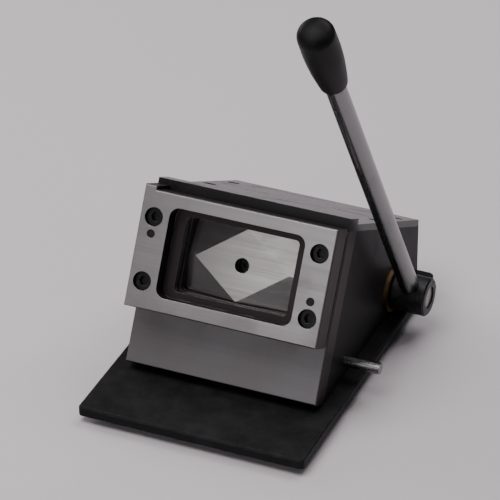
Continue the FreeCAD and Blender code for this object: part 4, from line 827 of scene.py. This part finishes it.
def add_camera(studio):
    """The camera at the photograph's viewing angle, its picture's centre beside the desk's centre line."""
    back = around(studio.azimuth, studio.elevation)
    turn = back.to_track_quat("Z", "Y")
    right, up = turn @ Vector((1, 0, 0)), turn @ Vector((0, 1, 0))
    aim = Vector((0, 0, studio.aim_height)) + right * studio.shift_right + up * studio.shift_up
    camera = bpy.data.objects.new("studio_camera", bpy.data.cameras.new("studio_camera"))
    camera.data.lens, camera.data.sensor_width = studio.lens, SENSOR
    camera.location = aim + back * studio.distance
    camera.rotation_euler = turn.to_euler()
    bpy.context.scene.collection.objects.link(camera)
    bpy.context.scene.camera = camera


class CUTTER_OT_body(bpy.types.Operator):
    """Paint the body: side plates, top cover and rear cover."""

    bl_idname = "cutter.dress_body"
    bl_label = "Paint the body"

    def execute(self, context):
        dress("left_side_plate", "right_side_plate", "rear_cover")
        dress("top_cover", finish="rubbed_paint")
        return {"FINISHED"}


class CUTTER_OT_lip(bpy.types.Operator):
    """Run the top cover's lip on to the body's left edge."""

    bl_idname = "cutter.make_lip_end"
    bl_label = "Close the lip's end"

    def execute(self, context):
        make_lip_end()
        return {"FINISHED"}


class CUTTER_OT_base(bpy.types.Operator):
    """Paint the base plate and finish its rubber feet."""

    bl_idname = "cutter.dress_base"
    bl_label = "Finish the base"

    def execute(self, context):
        dress("base_plate", "rubber_feet")
        return {"FINISHED"}


class CUTTER_OT_die(bpy.types.Operator):
    """Grind the die plate, the guide plate and the spacers between them."""

    bl_idname = "cutter.dress_die"
    bl_label = "Grind the die"

    def execute(self, context):
        dress("die_plate", "guide_plate", "left_spacer", "right_spacers")
        return {"FINISHED"}


class CUTTER_OT_screws(bpy.types.Operator):
    """Black the screws, the dowels and the set screws."""

    bl_idname = "cutter.dress_screws"
    bl_label = "Black the screws"

    def execute(self, context):
        dress("foot_screws", "base_screws", "top_cover_screws", "rear_cover_screws", "die_screws",
              "die_dowels", "left_rail_screws", "right_rail_screws", "cam_pad_screws", "punch_screw",
              "collar_set_screw", "hub_set_screw")
        return {"FINISHED"}


class CUTTER_OT_ram(bpy.types.Operator):
    """Finish the ram, its punch, its pad and the rails that it slides in."""

    bl_idname = "cutter.dress_ram"
    bl_label = "Finish the ram"

    def execute(self, context):
        dress("ram_block", "punch", "punch_dowels", "cam_pad", "spring_studs", "left_guide_rail",
              "right_guide_rail", "spring_bar")
        return {"FINISHED"}


class CUTTER_OT_drive(bpy.types.Operator):
    """Finish the shaft with its cam, key, collar and bushes."""

    bl_idname = "cutter.dress_drive"
    bl_label = "Finish the drive"

    def execute(self, context):
        dress("main_shaft", "cam", "cam_key", "shaft_collar", "left_bush", "right_bush")
        return {"FINISHED"}


class CUTTER_OT_lever(bpy.types.Operator):
    """Plate the lever's rod and the stop pin, and black the hub."""

    bl_idname = "cutter.dress_lever"
    bl_label = "Plate the lever"

    def execute(self, context):
        dress("lever_hub", "lever_rod", "lever_stop_pin")
        return {"FINISHED"}


class CUTTER_OT_grip(bpy.types.Operator):
    """Mould the lever's grip."""

    bl_idname = "cutter.make_grip"
    bl_label = "Mould the grip"

    def execute(self, context):
        make_grip()
        return {"FINISHED"}


class CUTTER_OT_springs(bpy.types.Operator):
    """Wind the two return springs."""

    bl_idname = "cutter.make_springs"
    bl_label = "Wind the springs"

    def execute(self, context):
        make_springs()
        return {"FINISHED"}


class CUTTER_OT_studio(bpy.types.Operator):
    """Set up the floor, the soft lights and the camera."""

    bl_idname = "cutter.set_studio"
    bl_label = "Set up the studio"

    def execute(self, context):
        studio = context.scene.cutter_studio
        add_floor(studio.floor_colour)
        add_lights(Vector((0, 0, studio.aim_height)), studio.lamp_colour)
        add_camera(studio)
        context.scene.world = make_room(studio)
        return {"FINISHED"}


OPERATORS = (CUTTER_OT_body, CUTTER_OT_lip, CUTTER_OT_base, CUTTER_OT_die, CUTTER_OT_screws, CUTTER_OT_ram,
             CUTTER_OT_drive, CUTTER_OT_lever, CUTTER_OT_grip, CUTTER_OT_springs, CUTTER_OT_studio)
SETTINGS = {"cutter_colours": CutterColours, "cutter_forms": CutterForms, "cutter_studio": CutterStudio}


class CUTTER_PT_panel(bpy.types.Panel):
    """Lists the steps that dress the card cutter."""

    bl_idname = "CUTTER_PT_panel"
    bl_label = "Card cutter"
    bl_space_type = "VIEW_3D"
    bl_region_type = "UI"
    bl_category = "Card cutter"

    def draw(self, context):
        for operator in OPERATORS:
            self.layout.operator(operator.bl_idname)
        for group, kind in SETTINGS.items():
            box = self.layout.box()
            for label in kind.__annotations__:
                box.prop(getattr(context.scene, group), label)


def register():
    """Registers the settings, the steps and the panel."""
    for kind in (*SETTINGS.values(), *OPERATORS, CUTTER_PT_panel):
        bpy.utils.register_class(kind)
    for group, kind in SETTINGS.items():
        setattr(bpy.types.Scene, group, PointerProperty(type=kind))


def unregister():
    """Takes back what register() added."""
    for group in SETTINGS:
        delattr(bpy.types.Scene, group)
    for kind in (CUTTER_PT_panel, *reversed(OPERATORS), *SETTINGS.values()):
        bpy.utils.unregister_class(kind)


def main():
    """Runs every step in order."""
    register()
    for operator in OPERATORS:
        family, step = operator.bl_idname.split(".")
        getattr(getattr(bpy.ops, family), step)()


if __name__ == "__main__":
    main()
